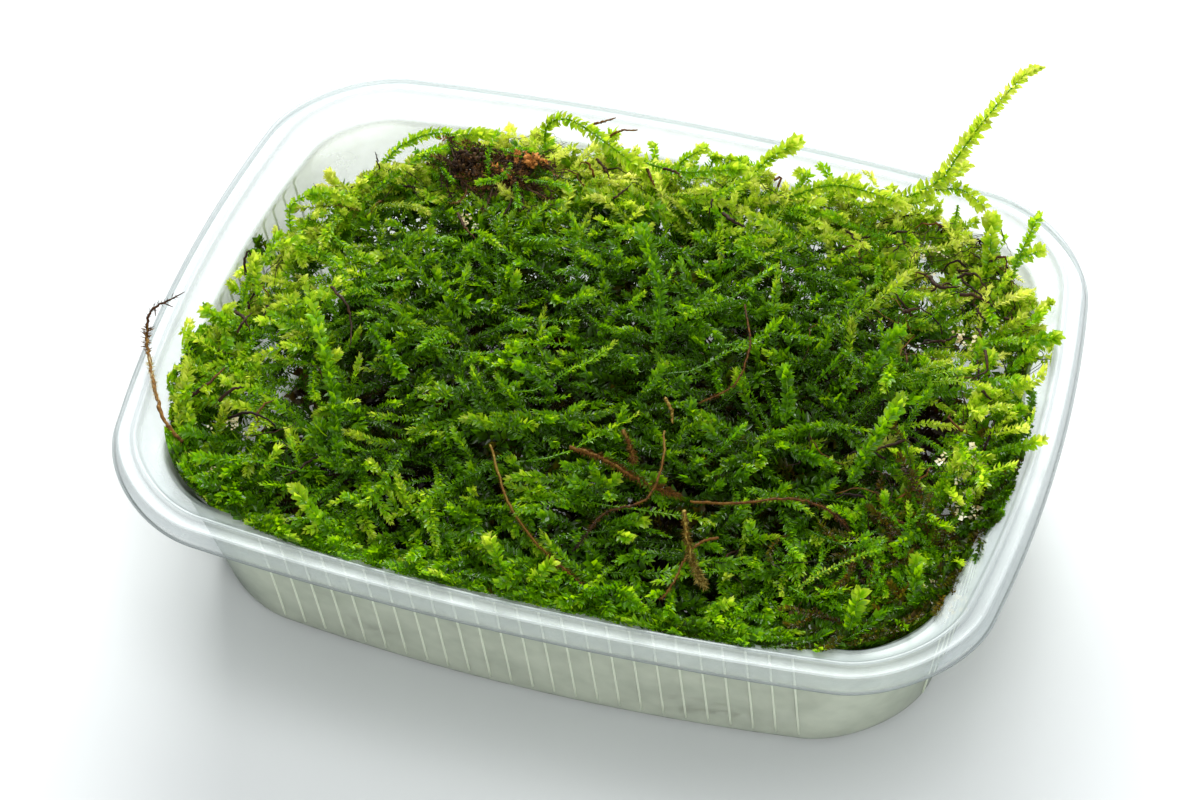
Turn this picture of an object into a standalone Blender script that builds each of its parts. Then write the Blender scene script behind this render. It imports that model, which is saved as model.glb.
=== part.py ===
"""A clump of loose green moss lying in an open, clear plastic tub.

The tub is a thin shell with rounded corners, sides that bow outwards and a
turned-down rim.  Brown old growth lies on its floor, and the green mat of
shoots fills it to the rim.  Single shoots, bare stems, a dead root and a ball
of debris stand clear of the mat, each as a piece of its own.

Lengths are in millimetres until MM turns them to metres.  The origin is the
centre of the tub's underside, +X runs along the tub and +Z points up.
"""
import math

import bmesh
import bpy
import numpy as np
from mathutils import Vector
from mathutils.bvhtree import BVHTree

MM = 0.001
TOUCH_GAP = 0.35        # clearance kept between pieces that touch

# ---- the tub ----
RIM_Z = 44.3            # height of the rim above the surface it stands on
RIM_HALF = (82.6, 61.7)     # half sizes of the rim at its corners, along X and Y
RIM_CORNER = 20.4
BOW = (6.9, 5.6)        # how far the short and the long sides bulge outwards
LIP_WIDTH = 3.55
LIP_DROP = 0.2
SKIRT_DROP = 3.4
SKIRT_FLARE = 0.6
LEDGE_INSET = 8.2       # the sloping band inside the lip ends here
LEDGE_DROP = 3.2
WALL_TOP_INSET = 8.7
WALL_TOP_DROP = 4.3
FLOOR_INSET = (13.1, 15.4)
FLOOR_CORNER = 16.5
FLOOR_FILLET = 2.4
WALL_THICK = 0.7

# ---- the moss ----
BED_TOP_Z = 12.0        # brown old growth on the floor
BED_CORNER_RISE = 8.0   # it is heaped in the corner at +X, -Y
MAT_EDGE_Z = 39.0
MAT_CROWN_Z = 46.5
MAT_SHOULDER = 4.0      # how far the mat's edge is rounded down
MAT_BED_GAP = 0.9       # keeps the mat's facets clear of the bed's
MAT_WALL_GAP = 1.6
MAT_BACK_GAP = 5.0      # the mat stands off the wall at the back
MAT_CORNER_GAP = 15.0   # and more in the corner at -X, +Y
MAT_CORNER_DIP = 7.0    # the mat is thin where the bed is heaped
HEAP_PLACE = (70.0, -36.0)
HEAP_REACH = 20.0
BARE_PLACE = (-66.0, 46.0)
BARE_REACH = 17.0

CORNER_POINTS = 7
SIDE_POINTS = 5
TUBE_STEP = 1.0         # spacing of the points where a tube's clearance is tested

# ---- single shoots: half width and the path of the stem, foot first ----
SHOOTS = {
    "shoot_back_right_tall": (2.1, ((39.5, 52.0, 44.5), (46.5, 55.0, 46.5), (52.7, 58.1, 50.3), (56.0, 62.7, 55.3),
                                    (59.3, 67.2, 60.3), (62.8, 73.0, 64.0), (65.7, 77.5, 65.8), (68.4, 79.8, 65.6))),
    "shoot_back_arch": (2.0, ((-29.7, 52.9, 42.0), (-29.4, 54.9, 47.3), (-24.4, 54.6, 50.3), (-17.1, 51.6, 49.8),
                              (-9.7, 48.3, 48.5), (-3.6, 45.6, 46.5))),
    "shoot_back_curled": (2.0, ((12.4, 49.1, 43.5), (14.6, 52.6, 46.0), (17.5, 55.7, 49.0), (20.6, 57.5, 51.0),
                                (23.1, 59.7, 52.3))),
    "shoot_back_frond_long": (1.8, ((-7.7, 50.5, 46.5), (1.2, 48.5, 48.0), (9.0, 49.6, 49.5), (14.2, 50.4, 50.5))),
    "shoot_back_frond_short": (1.6, ((-1.7, 52.5, 44.0), (0.7, 54.0, 46.5), (4.5, 56.3, 48.5))),
    "shoot_right_fan": (2.4, ((66.7, 39.8, 42.5), (66.6, 43.4, 47.3), (65.2, 50.4, 51.3))),
    "shoot_right_brown_tip": (1.5, ((71.3, 40.5, 43.0), (72.7, 45.8, 48.3), (74.4, 52.5, 52.3))),
    "shoot_right_over_lip": (2.0, ((75.0, 24.2, 43.0), (80.4, 24.4, 46.3), (84.4, 26.0, 47.0))),
    "shoot_right_yellow_tip": (1.7, ((77.5, -3.2, 42.5), (82.5, -3.1, 45.8), (87.3, -1.2, 47.6))),
    "shoot_right_small": (1.2, ((77.2, -10.1, 41.0), (80.3, -7.9, 43.0), (83.2, -6.7, 45.0))),
    "shoot_left_upright": (1.9, ((-39.5, -44.0, 46.0), (-42.3, -37.5, 48.3), (-45.0, -30.4, 51.0),
                                 (-51.1, -20.2, 53.6), (-59.8, -5.8, 54.6))),
    "shoot_left_arch": (1.8, ((-60.5, 35.5, 40.0), (-59.5, 42.5, 43.0), (-53.4, 47.4, 45.3), (-45.3, 48.5, 46.3),
                              (-39.6, 49.5, 47.0))),
    "shoot_left_rim": (1.9, ((-71.1, -40.3, 42.3), (-75.0, -34.2, 44.3), (-77.5, -26.1, 45.8))),
    "shoot_left_top": (1.7, ((-70.7, -4.8, 42.5), (-73.2, -0.2, 45.0), (-75.2, 4.4, 46.6))),
    "shoot_front_fork_left": (1.9, ((-2.0, -58.0, 44.0), (-4.0, -55.8, 46.8), (-6.0, -53.7, 49.3))),
    "shoot_front_fork_right": (1.8, ((2.6, -58.6, 43.6), (4.6, -57.6, 46.0), (6.9, -55.4, 48.5))),
    "shoot_front_right": (2.2, ((62.3, -51.4, 42.3), (62.6, -48.8, 44.6), (62.9, -45.6, 46.8))),
    "shoot_front_corner": (2.0, ((71.9, -41.1, 38.3), (71.1, -36.1, 40.3), (70.3, -30.9, 42.3))),
    "shoot_pale": (1.9, ((39.2, -11.0, 48.0), (38.4, -6.1, 50.5), (36.4, -1.0, 52.5))),
    "shoot_light_right": (2.1, ((54.2, -19.3, 45.0), (56.4, -11.4, 48.3), (59.8, -1.4, 51.3))),
    "shoot_front_left": (2.0, ((-35.7, -56.5, 43.6), (-40.3, -55.3, 46.6), (-45.6, -51.9, 48.8))),
    "shoot_back_right_flat": (2.0, ((24.0, 48.5, 47.0), (31.6, 51.5, 49.5), (40.0, 51.0, 50.3), (48.4, 49.2, 50.0))),
    "shoot_back_left": (1.8, ((-59.7, 24.3, 43.5), (-65.8, 25.7, 45.5), (-70.5, 23.6, 46.0))),
    "shoot_left_far": (1.8, ((-70.7, -13.5, 43.5), (-75.3, -13.0, 45.5), (-79.7, -12.3, 46.6))),
    "shoot_mid_left": (1.9, ((-47.2, -7.5, 47.3), (-39.7, -15.2, 49.3), (-34.9, -20.6, 49.6))),
    "shoot_centre_left": (1.9, ((-5.4, -14.8, 48.0), (-9.8, -13.6, 50.0), (-14.2, -12.3, 50.8))),
    "shoot_mid_right": (2.0, ((50.9, 4.4, 46.3), (52.6, 10.5, 48.8), (55.1, 16.4, 50.8))),
    "shoot_centre": (2.0, ((9.6, 1.5, 49.0), (7.7, 11.4, 51.3), (2.9, 20.7, 53.0), (-1.0, 26.7, 53.3))),
}

# ---- bare stems and twigs: half thickness, then the path ----
STEMS = {
    "stem_front_long": (0.6, ((-13.7, -30.3, 48.3), (-7.1, -41.3, 48.0), (0.1, -48.4, 47.0), (7.4, -53.0, 46.0),
                              (17.5, -57.6, 43.5))),
    "stem_orange": (0.8, ((1.3, -27.4, 49.0), (7.5, -28.2, 49.0), (16.6, -31.5, 48.8), (24.6, -32.7, 48.3))),
    "stem_orange_branch": (0.7, ((10.0, -21.5, 50.5), (12.6, -25.2, 50.5), (14.5, -28.6, 50.3))),
    "stem_purple": (0.6, ((17.5, -19.1, 49.5), (19.7, -27.4, 50.5), (19.0, -35.4, 49.0), (12.2, -40.3, 48.0),
                          (10.2, -45.7, 47.5), (9.0, -50.0, 47.3))),
    "stem_right_curved": (0.7, ((26.8, -33.3, 48.3), (34.2, -32.1, 48.6), (44.7, -27.9, 48.6), (52.3, -27.3, 47.0),
                                (56.9, -29.8, 45.4))),
    "stem_fuzzy": (1.0, ((26.5, -36.5, 49.0), (30.1, -44.8, 47.8), (34.5, -50.6, 46.3))),
    "stem_twig": (0.6, ((27.5, -44.5, 47.6), (26.9, -50.9, 46.6), (24.0, -55.8, 45.3))),
    "stem_back_red": (0.6, ((23.7, 15.9, 50.3), (27.5, 6.0, 50.3), (27.3, -3.9, 49.6), (22.0, -9.8, 49.0))),
    "stem_pale": (0.7, ((15.4, -11.1, 49.6), (17.5, -13.9, 49.6), (18.4, -16.5, 49.3))),
    "twig_right_dark": (0.5, ((61.3, 39.0, 45.0), (66.5, 35.0, 46.0), (71.5, 31.3, 45.6))),
    "twig_right_lower": (0.5, ((69.3, 20.6, 45.0), (70.8, 16.0, 45.2), (71.8, 12.0, 44.8))),
    "rhizoid_back_low": (0.35, ((-17.5, 55.4, 50.0), (-13.0, 55.8, 50.6), (-9.5, 57.0, 50.8))),
    "rhizoid_back_high": (0.35, ((-21.5, 57.3, 51.0), (-18.0, 58.6, 51.6), (-14.0, 60.0, 51.8))),
    "root_dead": (0.75, ((-72.5, -42.8, 43.0), (-76.8, -40.6, 45.6), (-80.8, -34.9, 46.8), (-84.8, -27.9, 47.3),
                         (-87.2, -22.8, 48.3), (-87.8, -18.4, 50.3), (-83.6, -15.2, 52.3))),
}

DEBRIS_PLACE = (-36.5, 41.5)
DEBRIS_HALF = (10.0, 5.0, 3.2)
DEBRIS_HOLLOW = 2.5     # it lies in a hollow of the mat
DEBRIS_REACH = 8.0

# ---- finish: colour, roughness ----
FINISHES = {
    "clear_polypropylene": ((0.78, 0.82, 0.83), 0.30),
    "brown_old_growth": ((0.16, 0.10, 0.04), 0.85),
    "green_moss": ((0.10, 0.22, 0.03), 0.60),
    "young_shoot": ((0.28, 0.48, 0.06), 0.55),
    "bare_stem": ((0.22, 0.10, 0.04), 0.70),
    "dead_root": ((0.20, 0.13, 0.05), 0.80),
    "debris": ((0.08, 0.045, 0.03), 0.90),
}
SHELL_ALPHA = 0.4


def clear_scene():
    """Start from nothing."""
    for item in list(bpy.data.objects):
        bpy.data.objects.remove(item, do_unlink=True)


def make_finish(name):
    """One Principled material for each real finish."""
    colour, roughness = FINISHES[name]
    finish = bpy.data.materials.new(name)
    finish.use_nodes = True
    shader = finish.node_tree.nodes["Principled BSDF"]
    shader.inputs["Base Color"].default_value = (*colour, 1.0)
    shader.inputs["Roughness"].default_value = roughness
    shader.inputs["Metallic"].default_value = 0.0
    if name == "clear_polypropylene":
        shader.inputs["Alpha"].default_value = SHELL_ALPHA
    return finish


def outline(half, corner, bow=BOW):
    """A rounded rectangle whose straight sides bulge outwards as shallow parabolas.

    Each corner is a quarter circle.  A point on a long side moves out by the bow
    times one minus the square of its place along the side, so the bulge fades
    to nothing at the corners.
    """
    half_x, half_y = half
    centres = ((half_x - corner, half_y - corner), (corner - half_x, half_y - corner),
               (corner - half_x, corner - half_y), (half_x - corner, corner - half_y))
    ring = []
    for quarter, (centre_x, centre_y) in enumerate(centres):
        angles = np.radians(90.0 * quarter + np.linspace(0.0, 90.0, CORNER_POINTS))
        arc = np.stack((centre_x + corner * np.cos(angles), centre_y + corner * np.sin(angles)), axis=1)
        next_x, next_y = centres[(quarter + 1) % 4]
        start = math.radians(90.0 * (quarter + 1))
        following = np.array((next_x + corner * math.cos(start), next_y + corner * math.sin(start)))
        steps = np.linspace(0.0, 1.0, SIDE_POINTS + 2)[1:-1, None]
        ring.extend((arc, arc[-1] * (1.0 - steps) + following * steps))
    ring = np.concatenate(ring)
    place_x, place_y = ring[:, 0] / half_x, ring[:, 1] / half_y
    bulge_x = np.sign(place_x) * bow[0] * (1.0 - place_y**2) * place_x**2
    bulge_y = np.sign(place_y) * bow[1] * (1.0 - place_x**2) * place_y**2
    return ring + np.stack((bulge_x, bulge_y), axis=1)


def rim_outline(inset):
    """The rim's outline moved inwards by inset."""
    corner = max(RIM_CORNER - inset, 8.0)
    return outline((RIM_HALF[0] - inset, RIM_HALF[1] - inset), corner)


def wall_outline(z):
    """The wall's inner outline at a height: it tapers evenly from the ledge to the floor."""
    rise = np.clip((z - FLOOR_FILLET) / (RIM_Z - WALL_TOP_DROP - FLOOR_FILLET), 0.0, 1.0)
    half = [RIM_HALF[axis] - FLOOR_INSET[axis] + rise * (FLOOR_INSET[axis] - WALL_TOP_INSET) for axis in (0, 1)]
    corner = FLOOR_CORNER + rise * (RIM_CORNER - LEDGE_INSET - FLOOR_CORNER + 2.0)
    return outline(half, corner)


def loft(name, rings, close_start, close_end):
    """Skin a list of equal rings of points, and close either end with one face."""
    build = bmesh.new()
    made = [[build.verts.new(Vector(point) * MM) for point in ring] for ring in rings]
    for lower, upper in zip(made, made[1:]):
        for this, following in zip(range(len(lower)), [*range(1, len(lower)), 0]):
            build.faces.new((lower[this], lower[following], upper[following], upper[this]))
    if close_start:
        build.faces.new(made[0][::-1])
    if close_end:
        build.faces.new(made[-1])
    mesh = bpy.data.meshes.new(name)
    build.to_mesh(mesh)
    build.free()
    return mesh


def add_object(name, data, finish, collection):
    """Put a mesh or a curve in the scene with its finish."""
    item = bpy.data.objects.new(name, data)
    data.materials.append(finish)
    collection.objects.link(item)
    return item


def at_height(ring, z):
    """Lift a flat outline to a height, which is one number or one for each point."""
    return np.column_stack((ring, np.broadcast_to(z, len(ring))))


def make_tub(finish, collection):
    """The shell's inner face from the floor's edge up over the rim, thickened outwards."""
    floor_half = [RIM_HALF[axis] - FLOOR_INSET[axis] - FLOOR_FILLET for axis in (0, 1)]
    rings = [
        at_height(outline(floor_half, FLOOR_CORNER - FLOOR_FILLET), WALL_THICK),
        at_height(wall_outline(0.0) * 0.99, WALL_THICK + 0.3 * FLOOR_FILLET),
        at_height(wall_outline(FLOOR_FILLET), WALL_THICK + FLOOR_FILLET),
        at_height(wall_outline(RIM_Z - WALL_TOP_DROP), RIM_Z - WALL_TOP_DROP),
        at_height(rim_outline(LEDGE_INSET), RIM_Z - LEDGE_DROP),
        at_height(rim_outline(LIP_WIDTH), RIM_Z - LIP_DROP),
        at_height(rim_outline(0.4), RIM_Z),
        at_height(rim_outline(0.0), RIM_Z - 0.4),
        at_height(rim_outline(-SKIRT_FLARE), RIM_Z - SKIRT_DROP),
    ]
    tub = add_object("tub", loft("tub", rings, True, False), finish, collection)
    build = bmesh.new()
    build.from_mesh(tub.data)
    bmesh.ops.recalc_face_normals(build, faces=build.faces)
    floor = max(build.faces, key=lambda face: len(face.verts))
    if floor.normal.z < 0.0:
        bmesh.ops.reverse_faces(build, faces=build.faces)
    build.to_mesh(tub.data)
    build.free()
    shell = tub.modifiers.new("shell", "SOLIDIFY")
    shell.thickness = WALL_THICK * MM
    shell.offset = -1.0
    shell.use_even_offset = True
    shell.use_quality_normals = True
    return tub


def falloff(points, place, reach):
    """One at a place, fading to nothing over about twice the reach."""
    away = np.hypot(points[:, 0] - place[0], points[:, 1] - place[1])
    return np.exp(-0.5 * (away / reach) ** 2)


def bed_height(points):
    """The brown bed is level, and heaped in one corner."""
    return BED_TOP_Z + BED_CORNER_RISE * falloff(points, HEAP_PLACE, HEAP_REACH)


def mat_height(points):
    """The mat's top: a low dome, rolling a little, thinner over the heap."""
    across = (points[:, 0] / (RIM_HALF[0] + BOW[0])) ** 2
    along = (points[:, 1] / (RIM_HALF[1] + BOW[1])) ** 2
    dome = np.clip((1.0 - across**2) * (1.0 - along**2), 0.0, 1.0)
    rolling = 0.9 * np.sin(points[:, 0] / 8.5 + 0.6) * np.sin(points[:, 1] / 7.0 + 1.1)
    dip = MAT_CORNER_DIP * falloff(points, HEAP_PLACE, HEAP_REACH)
    hollow = DEBRIS_HOLLOW * falloff(points, DEBRIS_PLACE, DEBRIS_REACH)
    return MAT_EDGE_Z + (MAT_CROWN_Z - MAT_EDGE_Z) * dome + rolling - dip - hollow


def mat_outline(ring):
    """Draw the mat in from the wall, further at the back and most in the bare corner."""
    away = np.linalg.norm(ring, axis=1)
    back = np.clip(ring[:, 1] / RIM_HALF[1], 0.0, 1.0) ** 3
    gap = MAT_WALL_GAP + MAT_BACK_GAP * back + MAT_CORNER_GAP * falloff(ring, BARE_PLACE, BARE_REACH)
    return ring * (1.0 - gap / away)[:, None]


def make_bed(finish, collection):
    """Old growth packed over the floor, drawn in a little from the wall."""
    foot = wall_outline(WALL_THICK) * 0.955
    shoulder = wall_outline(BED_TOP_Z) * 0.965
    lower = WALL_THICK + TOUCH_GAP
    rings = [at_height(foot * 0.5, lower), at_height(foot, lower)]
    rings.append(at_height(shoulder, bed_height(shoulder) - 2.5))
    for shrink in (0.93, 0.75, 0.5, 0.25):
        ring = shoulder * shrink
        rings.append(at_height(ring, bed_height(ring)))
    return add_object("moss_bed", loft("moss_bed", rings, True, True), finish, collection)


def make_mat(finish, collection):
    """The green mass: it lies on the bed, and its rounded edge follows the wall."""
    foot = mat_outline(wall_outline(BED_TOP_Z) * 0.99)
    waist = mat_outline(wall_outline(0.7 * MAT_EDGE_Z))
    edge = mat_outline(wall_outline(MAT_EDGE_Z))
    rings = []
    for shrink in (0.3, 0.65, 1.0):
        ring = foot * shrink
        rings.append(at_height(ring, bed_height(ring) + MAT_BED_GAP))
    rings.append(at_height(waist, 0.5 * (bed_height(waist) + mat_height(waist))))
    rings.append(at_height(edge, mat_height(edge) - MAT_SHOULDER))
    for shrink in (0.965, 0.88, 0.76, 0.64, 0.52, 0.4, 0.28, 0.16, 0.06):
        ring = edge * shrink
        rings.append(at_height(ring, mat_height(ring)))
    return add_object("moss_mat", loft("moss_mat", rings, True, True), finish, collection)


def make_debris(finish, collection, solids):
    """A lump of dark litter: a ball pressed flat, with an uneven skin, raised until it clears the mat."""
    bpy.ops.mesh.primitive_ico_sphere_add(subdivisions=2, radius=1.0)
    lump = bpy.context.active_object
    lump.name = lump.data.name = "debris_clump"
    unit = np.array([vertex.co[:] for vertex in lump.data.vertices])
    wobble = 1.0 + 0.14 * np.sin(5.0 * unit[:, :1] + 2.0) * np.sin(6.0 * unit[:, 1:2] + unit[:, 2:])
    skin = unit * wobble * DEBRIS_HALF + (*DEBRIS_PLACE, MAT_EDGE_Z)
    while any(too_near(tree, point, TOUCH_GAP) for tree in solids for point in skin):
        skin[:, 2] += 0.2
    for vertex, point in zip(lump.data.vertices, skin):
        vertex.co = Vector(point) * MM
    lump.data.materials.append(finish)
    for old in list(lump.users_collection):
        old.objects.unlink(lump)
    collection.objects.link(lump)
    return lump


def smooth_path(points, step):
    """A Catmull-Rom curve through the points, sampled about every step."""
    points = np.array(points, dtype=float)
    padded = np.vstack((2.0 * points[0] - points[1], points, 2.0 * points[-1] - points[-2]))
    samples = []
    for before, start, end, after in zip(padded, padded[1:], padded[2:], padded[3:]):
        count = max(2, round(np.linalg.norm(end - start) / step))
        part = np.linspace(0.0, 1.0, count, endpoint=False)[:, None]
        samples.append(0.5 * (2.0 * start + (end - before) * part
                              + (2.0 * before - 5.0 * start + 4.0 * end - after) * part**2
                              + (3.0 * start - before - 3.0 * end + after) * part**3))
    return np.vstack((*samples, points[-1:]))


def lift_clear(path, radius, solids):
    """Raise a path where it comes nearer than its radius and the gap to an earlier piece."""
    lift = np.zeros(len(path))
    for place, point in enumerate(path):
        need = radius + TOUCH_GAP + 0.15
        while any(too_near(tree, point + (0.0, 0.0, lift[place]), need) for tree in solids):
            lift[place] += 0.2
    spread = int(round(3.0 / TUBE_STEP))
    padded = np.pad(lift, spread, mode="edge")
    raised = np.max([padded[shift:shift + len(lift)] for shift in range(2 * spread + 1)], axis=0)
    return path + np.column_stack((np.zeros((len(path), 2)), raised))


def too_near(tree, point, need):
    """True where a point in millimetres is within need of a solid, or inside it."""
    spot = Vector(point) * MM
    near, normal, _, distance = tree.find_nearest(spot)
    return distance < need * MM or (spot - near).dot(normal) < 0.0


def add_tube(name, radius, points, finish, collection, solids, tip=0.35, spacing=3.6, sides=2):
    """A stem with its foliage as one tapering tube, lifted clear of the earlier pieces."""
    path = lift_clear(smooth_path(points, TUBE_STEP), radius, solids)
    count = max(4, int(round(len(path) * TUBE_STEP / spacing)) + 1)
    keep = np.round(np.linspace(0, len(path) - 1, count)).astype(int)
    curve = bpy.data.curves.new(name, "CURVE")
    curve.dimensions = "3D"
    curve.bevel_depth = radius * MM
    curve.bevel_resolution = sides
    curve.use_fill_caps = True
    spline = curve.splines.new("POLY")
    spline.points.add(count - 1)
    for number, (control, place) in enumerate(zip(spline.points, keep)):
        along = number / (count - 1)
        control.co = (*(path[place] * MM), 1.0)
        control.radius = 1.0 - (1.0 - tip) * along**2
    return add_object(name, curve, finish, collection)


def solid_tree(item):
    """A search tree of an object's finished surface."""
    depsgraph = bpy.context.evaluated_depsgraph_get()
    mesh = bpy.data.meshes.new_from_object(item.evaluated_get(depsgraph))
    build = bmesh.new()
    build.from_mesh(mesh)
    bmesh.ops.remove_doubles(build, verts=build.verts, dist=1e-6)
    tree = BVHTree.FromBMesh(build)
    build.free()
    bpy.data.meshes.remove(mesh)
    return tree


def main():
    """Build every piece, the largest first, so that each later one rests clear of it."""
    clear_scene()
    collection = bpy.data.collections.new("moss_clump")
    bpy.context.scene.collection.children.link(collection)
    finishes = {name: make_finish(name) for name in FINISHES}
    masses = [
        make_tub(finishes["clear_polypropylene"], collection),
        make_bed(finishes["brown_old_growth"], collection),
        make_mat(finishes["green_moss"], collection),
    ]
    bpy.context.view_layer.update()
    solids = [solid_tree(item) for item in masses]
    debris = make_debris(finishes["debris"], collection, solids)
    bpy.context.view_layer.update()
    solids.append(solid_tree(debris))
    for name, (radius, points) in {**STEMS, **SHOOTS}.items():
        if name in SHOOTS:
            finish, sides = finishes["young_shoot"], 2
        else:
            finish, sides = finishes["dead_root" if name == "root_dead" else "bare_stem"], 1
        piece = add_tube(name, radius, points, finish, collection, solids, sides=sides)
        bpy.context.view_layer.update()
        solids.append(solid_tree(piece))


main()
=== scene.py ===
# %% [markdown]
# # A moss clump in its tub
# Loose, leafy green moss lies in an open tub of translucent polypropylene.  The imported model
# gives every piece its place.  This notebook makes the looks: the moulded shell with its ribs,
# thousands of leafy shoots, brown stems, and the materials of each.

import bpy
import numpy as np
from mathutils import Matrix, Vector


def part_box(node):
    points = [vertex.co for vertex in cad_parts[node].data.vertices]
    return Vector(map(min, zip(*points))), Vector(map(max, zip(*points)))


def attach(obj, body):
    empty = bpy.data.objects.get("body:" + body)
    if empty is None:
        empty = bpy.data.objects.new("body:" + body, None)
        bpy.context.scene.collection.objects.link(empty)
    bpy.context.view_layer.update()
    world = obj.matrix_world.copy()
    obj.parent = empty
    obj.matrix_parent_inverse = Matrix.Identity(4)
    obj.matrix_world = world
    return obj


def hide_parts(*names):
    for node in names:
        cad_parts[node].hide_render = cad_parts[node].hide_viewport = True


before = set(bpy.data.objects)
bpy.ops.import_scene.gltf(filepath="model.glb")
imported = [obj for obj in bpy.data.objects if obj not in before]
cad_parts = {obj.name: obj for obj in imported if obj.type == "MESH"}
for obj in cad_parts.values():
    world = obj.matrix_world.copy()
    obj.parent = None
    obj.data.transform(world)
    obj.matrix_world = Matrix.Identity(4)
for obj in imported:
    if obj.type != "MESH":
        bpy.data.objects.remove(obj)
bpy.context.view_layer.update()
SEED = 11   # each piece draws its random numbers from this plus a number of its own
MM = 0.001
print("nodes in the frame:", len(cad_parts))

# %% [markdown]
# Lengths below are in millimetres, because a moss leaf is about two of them long.  The mesh
# helper turns them to metres.  It fills the mesh from whole arrays, so a piece with a hundred
# thousand leaves is made in one go.  Two numbers ride on every point of the moss: growth, from
# dead brown at 0 to a fresh tip at 1, and tone, which differs from leaf to leaf.

# %% Mesh helper
MAP_CORNERS = ((0.0, 0.0), (0.006, 0.002), (0.0, 0.008))   # so a triangle of one colour keeps some area


def put_on_mesh(name, points, triangles, growth=None, tone=None):
    """Make an object from points in millimetres and triangles, with growth and tone on its points.

    The map named OFBake places each point at (growth, tone), drawn in by 2 percent from the
    map's border, so leaves of one colour share a place on it.
    """
    mesh = bpy.data.meshes.new(name)
    mesh.vertices.add(len(points))
    mesh.vertices.foreach_set("co", (points * MM).astype(np.float32).ravel())
    mesh.loops.add(triangles.size)
    mesh.loops.foreach_set("vertex_index", triangles.astype(np.int32).ravel())
    mesh.polygons.add(len(triangles))
    mesh.polygons.foreach_set("loop_start", np.arange(0, triangles.size, 3, dtype=np.int32))
    mesh.polygons.foreach_set("use_smooth", np.full(len(triangles), True))
    if growth is not None:
        for label, values in (("growth", growth), ("tone", tone)):
            layer = mesh.attributes.new(label, "FLOAT", "POINT")
            layer.data.foreach_set("value", values.astype(np.float32))
        spread = np.stack((growth, tone), axis=1).clip(0.0, 1.0) * 0.96 + 0.02
        corners = spread[triangles.ravel()] + np.tile(MAP_CORNERS, (len(triangles), 1))
        mesh.uv_layers.new(name="OFBake").data.foreach_set("uv", corners.astype(np.float32).ravel())
    mesh.update(calc_edges=True)
    piece = bpy.data.objects.new(name, mesh)
    bpy.context.scene.collection.objects.link(piece)
    return piece


# %% [markdown]
# A finished piece gets its material and is tied to the imported model: which body it rides on,
# and which of the plain solids it stands for, which are hidden.  Nothing here moves on its own,
# so every piece rides on the one body.

# %% Finished pieces
def finish_piece(piece, material, slot, *nodes):
    """Give a piece its material, let it ride on the one body, and hide the plain solids it stands for."""
    piece.data.materials.append(material)
    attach(piece, "root")
    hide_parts(*nodes)
    piece.data.calc_loop_triangles()
    print(f"{piece.name}: {len(piece.data.loop_triangles)} triangles")
    return piece


# %% [markdown]
# A material is a tree of nodes.  Colours are written as sRGB hex codes, as in a paint program, and
# one function turns them to the linear numbers that shaders count in.

# %% Colour and node helpers
def hex_colour(code):
    """Turn an sRGB hex code to linear: v/12.92 for dark values, else ((v + 0.055)/1.055) to the power 2.4."""
    parts = np.array([int(code[place:place + 2], 16) for place in (1, 3, 5)]) / 255.0
    linear = np.where(parts <= 0.04045, parts / 12.92, ((parts + 0.055) / 1.055) ** 2.4)
    return (*linear, 1.0)


def add_node(tree, kind, links=(), **settings):
    """Add a node; settings name its properties or, as in_N, its inputs; links feed its inputs."""
    node = tree.nodes.new(kind)
    for key, value in settings.items():
        if key.startswith("in_"):
            node.inputs[int(key[3:])].default_value = value
        else:
            setattr(node, key, value)
    for source, target in links:
        tree.links.new(source, node.inputs[target])
    return node


def new_material(name):
    """An empty node material and its tree and output."""
    material = bpy.data.materials.new(name)
    material.use_nodes = True
    tree = material.node_tree
    tree.nodes.clear()
    return material, tree, tree.nodes.new("ShaderNodeOutputMaterial")


def set_ramp(node, stops):
    """Fill a colour ramp from (place, hex colour) pairs."""
    ramp = node.color_ramp
    while len(ramp.elements) < len(stops):
        ramp.elements.new(0.5)
    for element, (place, code) in zip(ramp.elements, stops):
        element.position = place
        element.color = hex_colour(code)


# %% [markdown]
# The camera looks down on the tub from its front right at about 49 degrees, through a long lens,
# so the sides of the tub hardly converge.  It is placed first, from the rim's own height.

# %% Camera
RIM_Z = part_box("tub")[1][2] / MM
CAMERA_AZIMUTH, CAMERA_ELEVATION, CAMERA_ROLL = np.radians((19.06, 48.99, -2.51))
CAMERA_DISTANCE = 683.6
CAMERA_SLIDE = (-1.2, -9.0)   # how far it is moved sideways and up in its own plane
CAMERA_LENS = 104.7

to_camera = Vector((np.sin(CAMERA_AZIMUTH) * np.cos(CAMERA_ELEVATION),
                    -np.cos(CAMERA_AZIMUTH) * np.cos(CAMERA_ELEVATION), np.sin(CAMERA_ELEVATION)))
level = (-to_camera).cross(Vector((0.0, 0.0, 1.0))).normalized()
raised = level.cross(-to_camera)
side = level * np.cos(CAMERA_ROLL) + raised * np.sin(CAMERA_ROLL)
upward = raised * np.cos(CAMERA_ROLL) - level * np.sin(CAMERA_ROLL)
spot = to_camera * CAMERA_DISTANCE + side * CAMERA_SLIDE[0] + upward * CAMERA_SLIDE[1]
spot = spot + Vector((0.0, 0.0, RIM_Z))

camera_data = bpy.data.cameras.new("camera")
camera_data.lens = CAMERA_LENS
camera_data.sensor_width = 36.0
camera_data.clip_start = 0.01
camera = bpy.data.objects.new("camera", camera_data)
bpy.context.scene.collection.objects.link(camera)
camera.matrix_world = Matrix.Translation(spot * MM) @ Matrix((side, upward, to_camera)).transposed().to_4x4()
bpy.context.scene.camera = camera
print("camera height above the rim:", round(spot.z - RIM_Z), "mm")

# %% [markdown]
# The tub stands on a white table.

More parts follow.
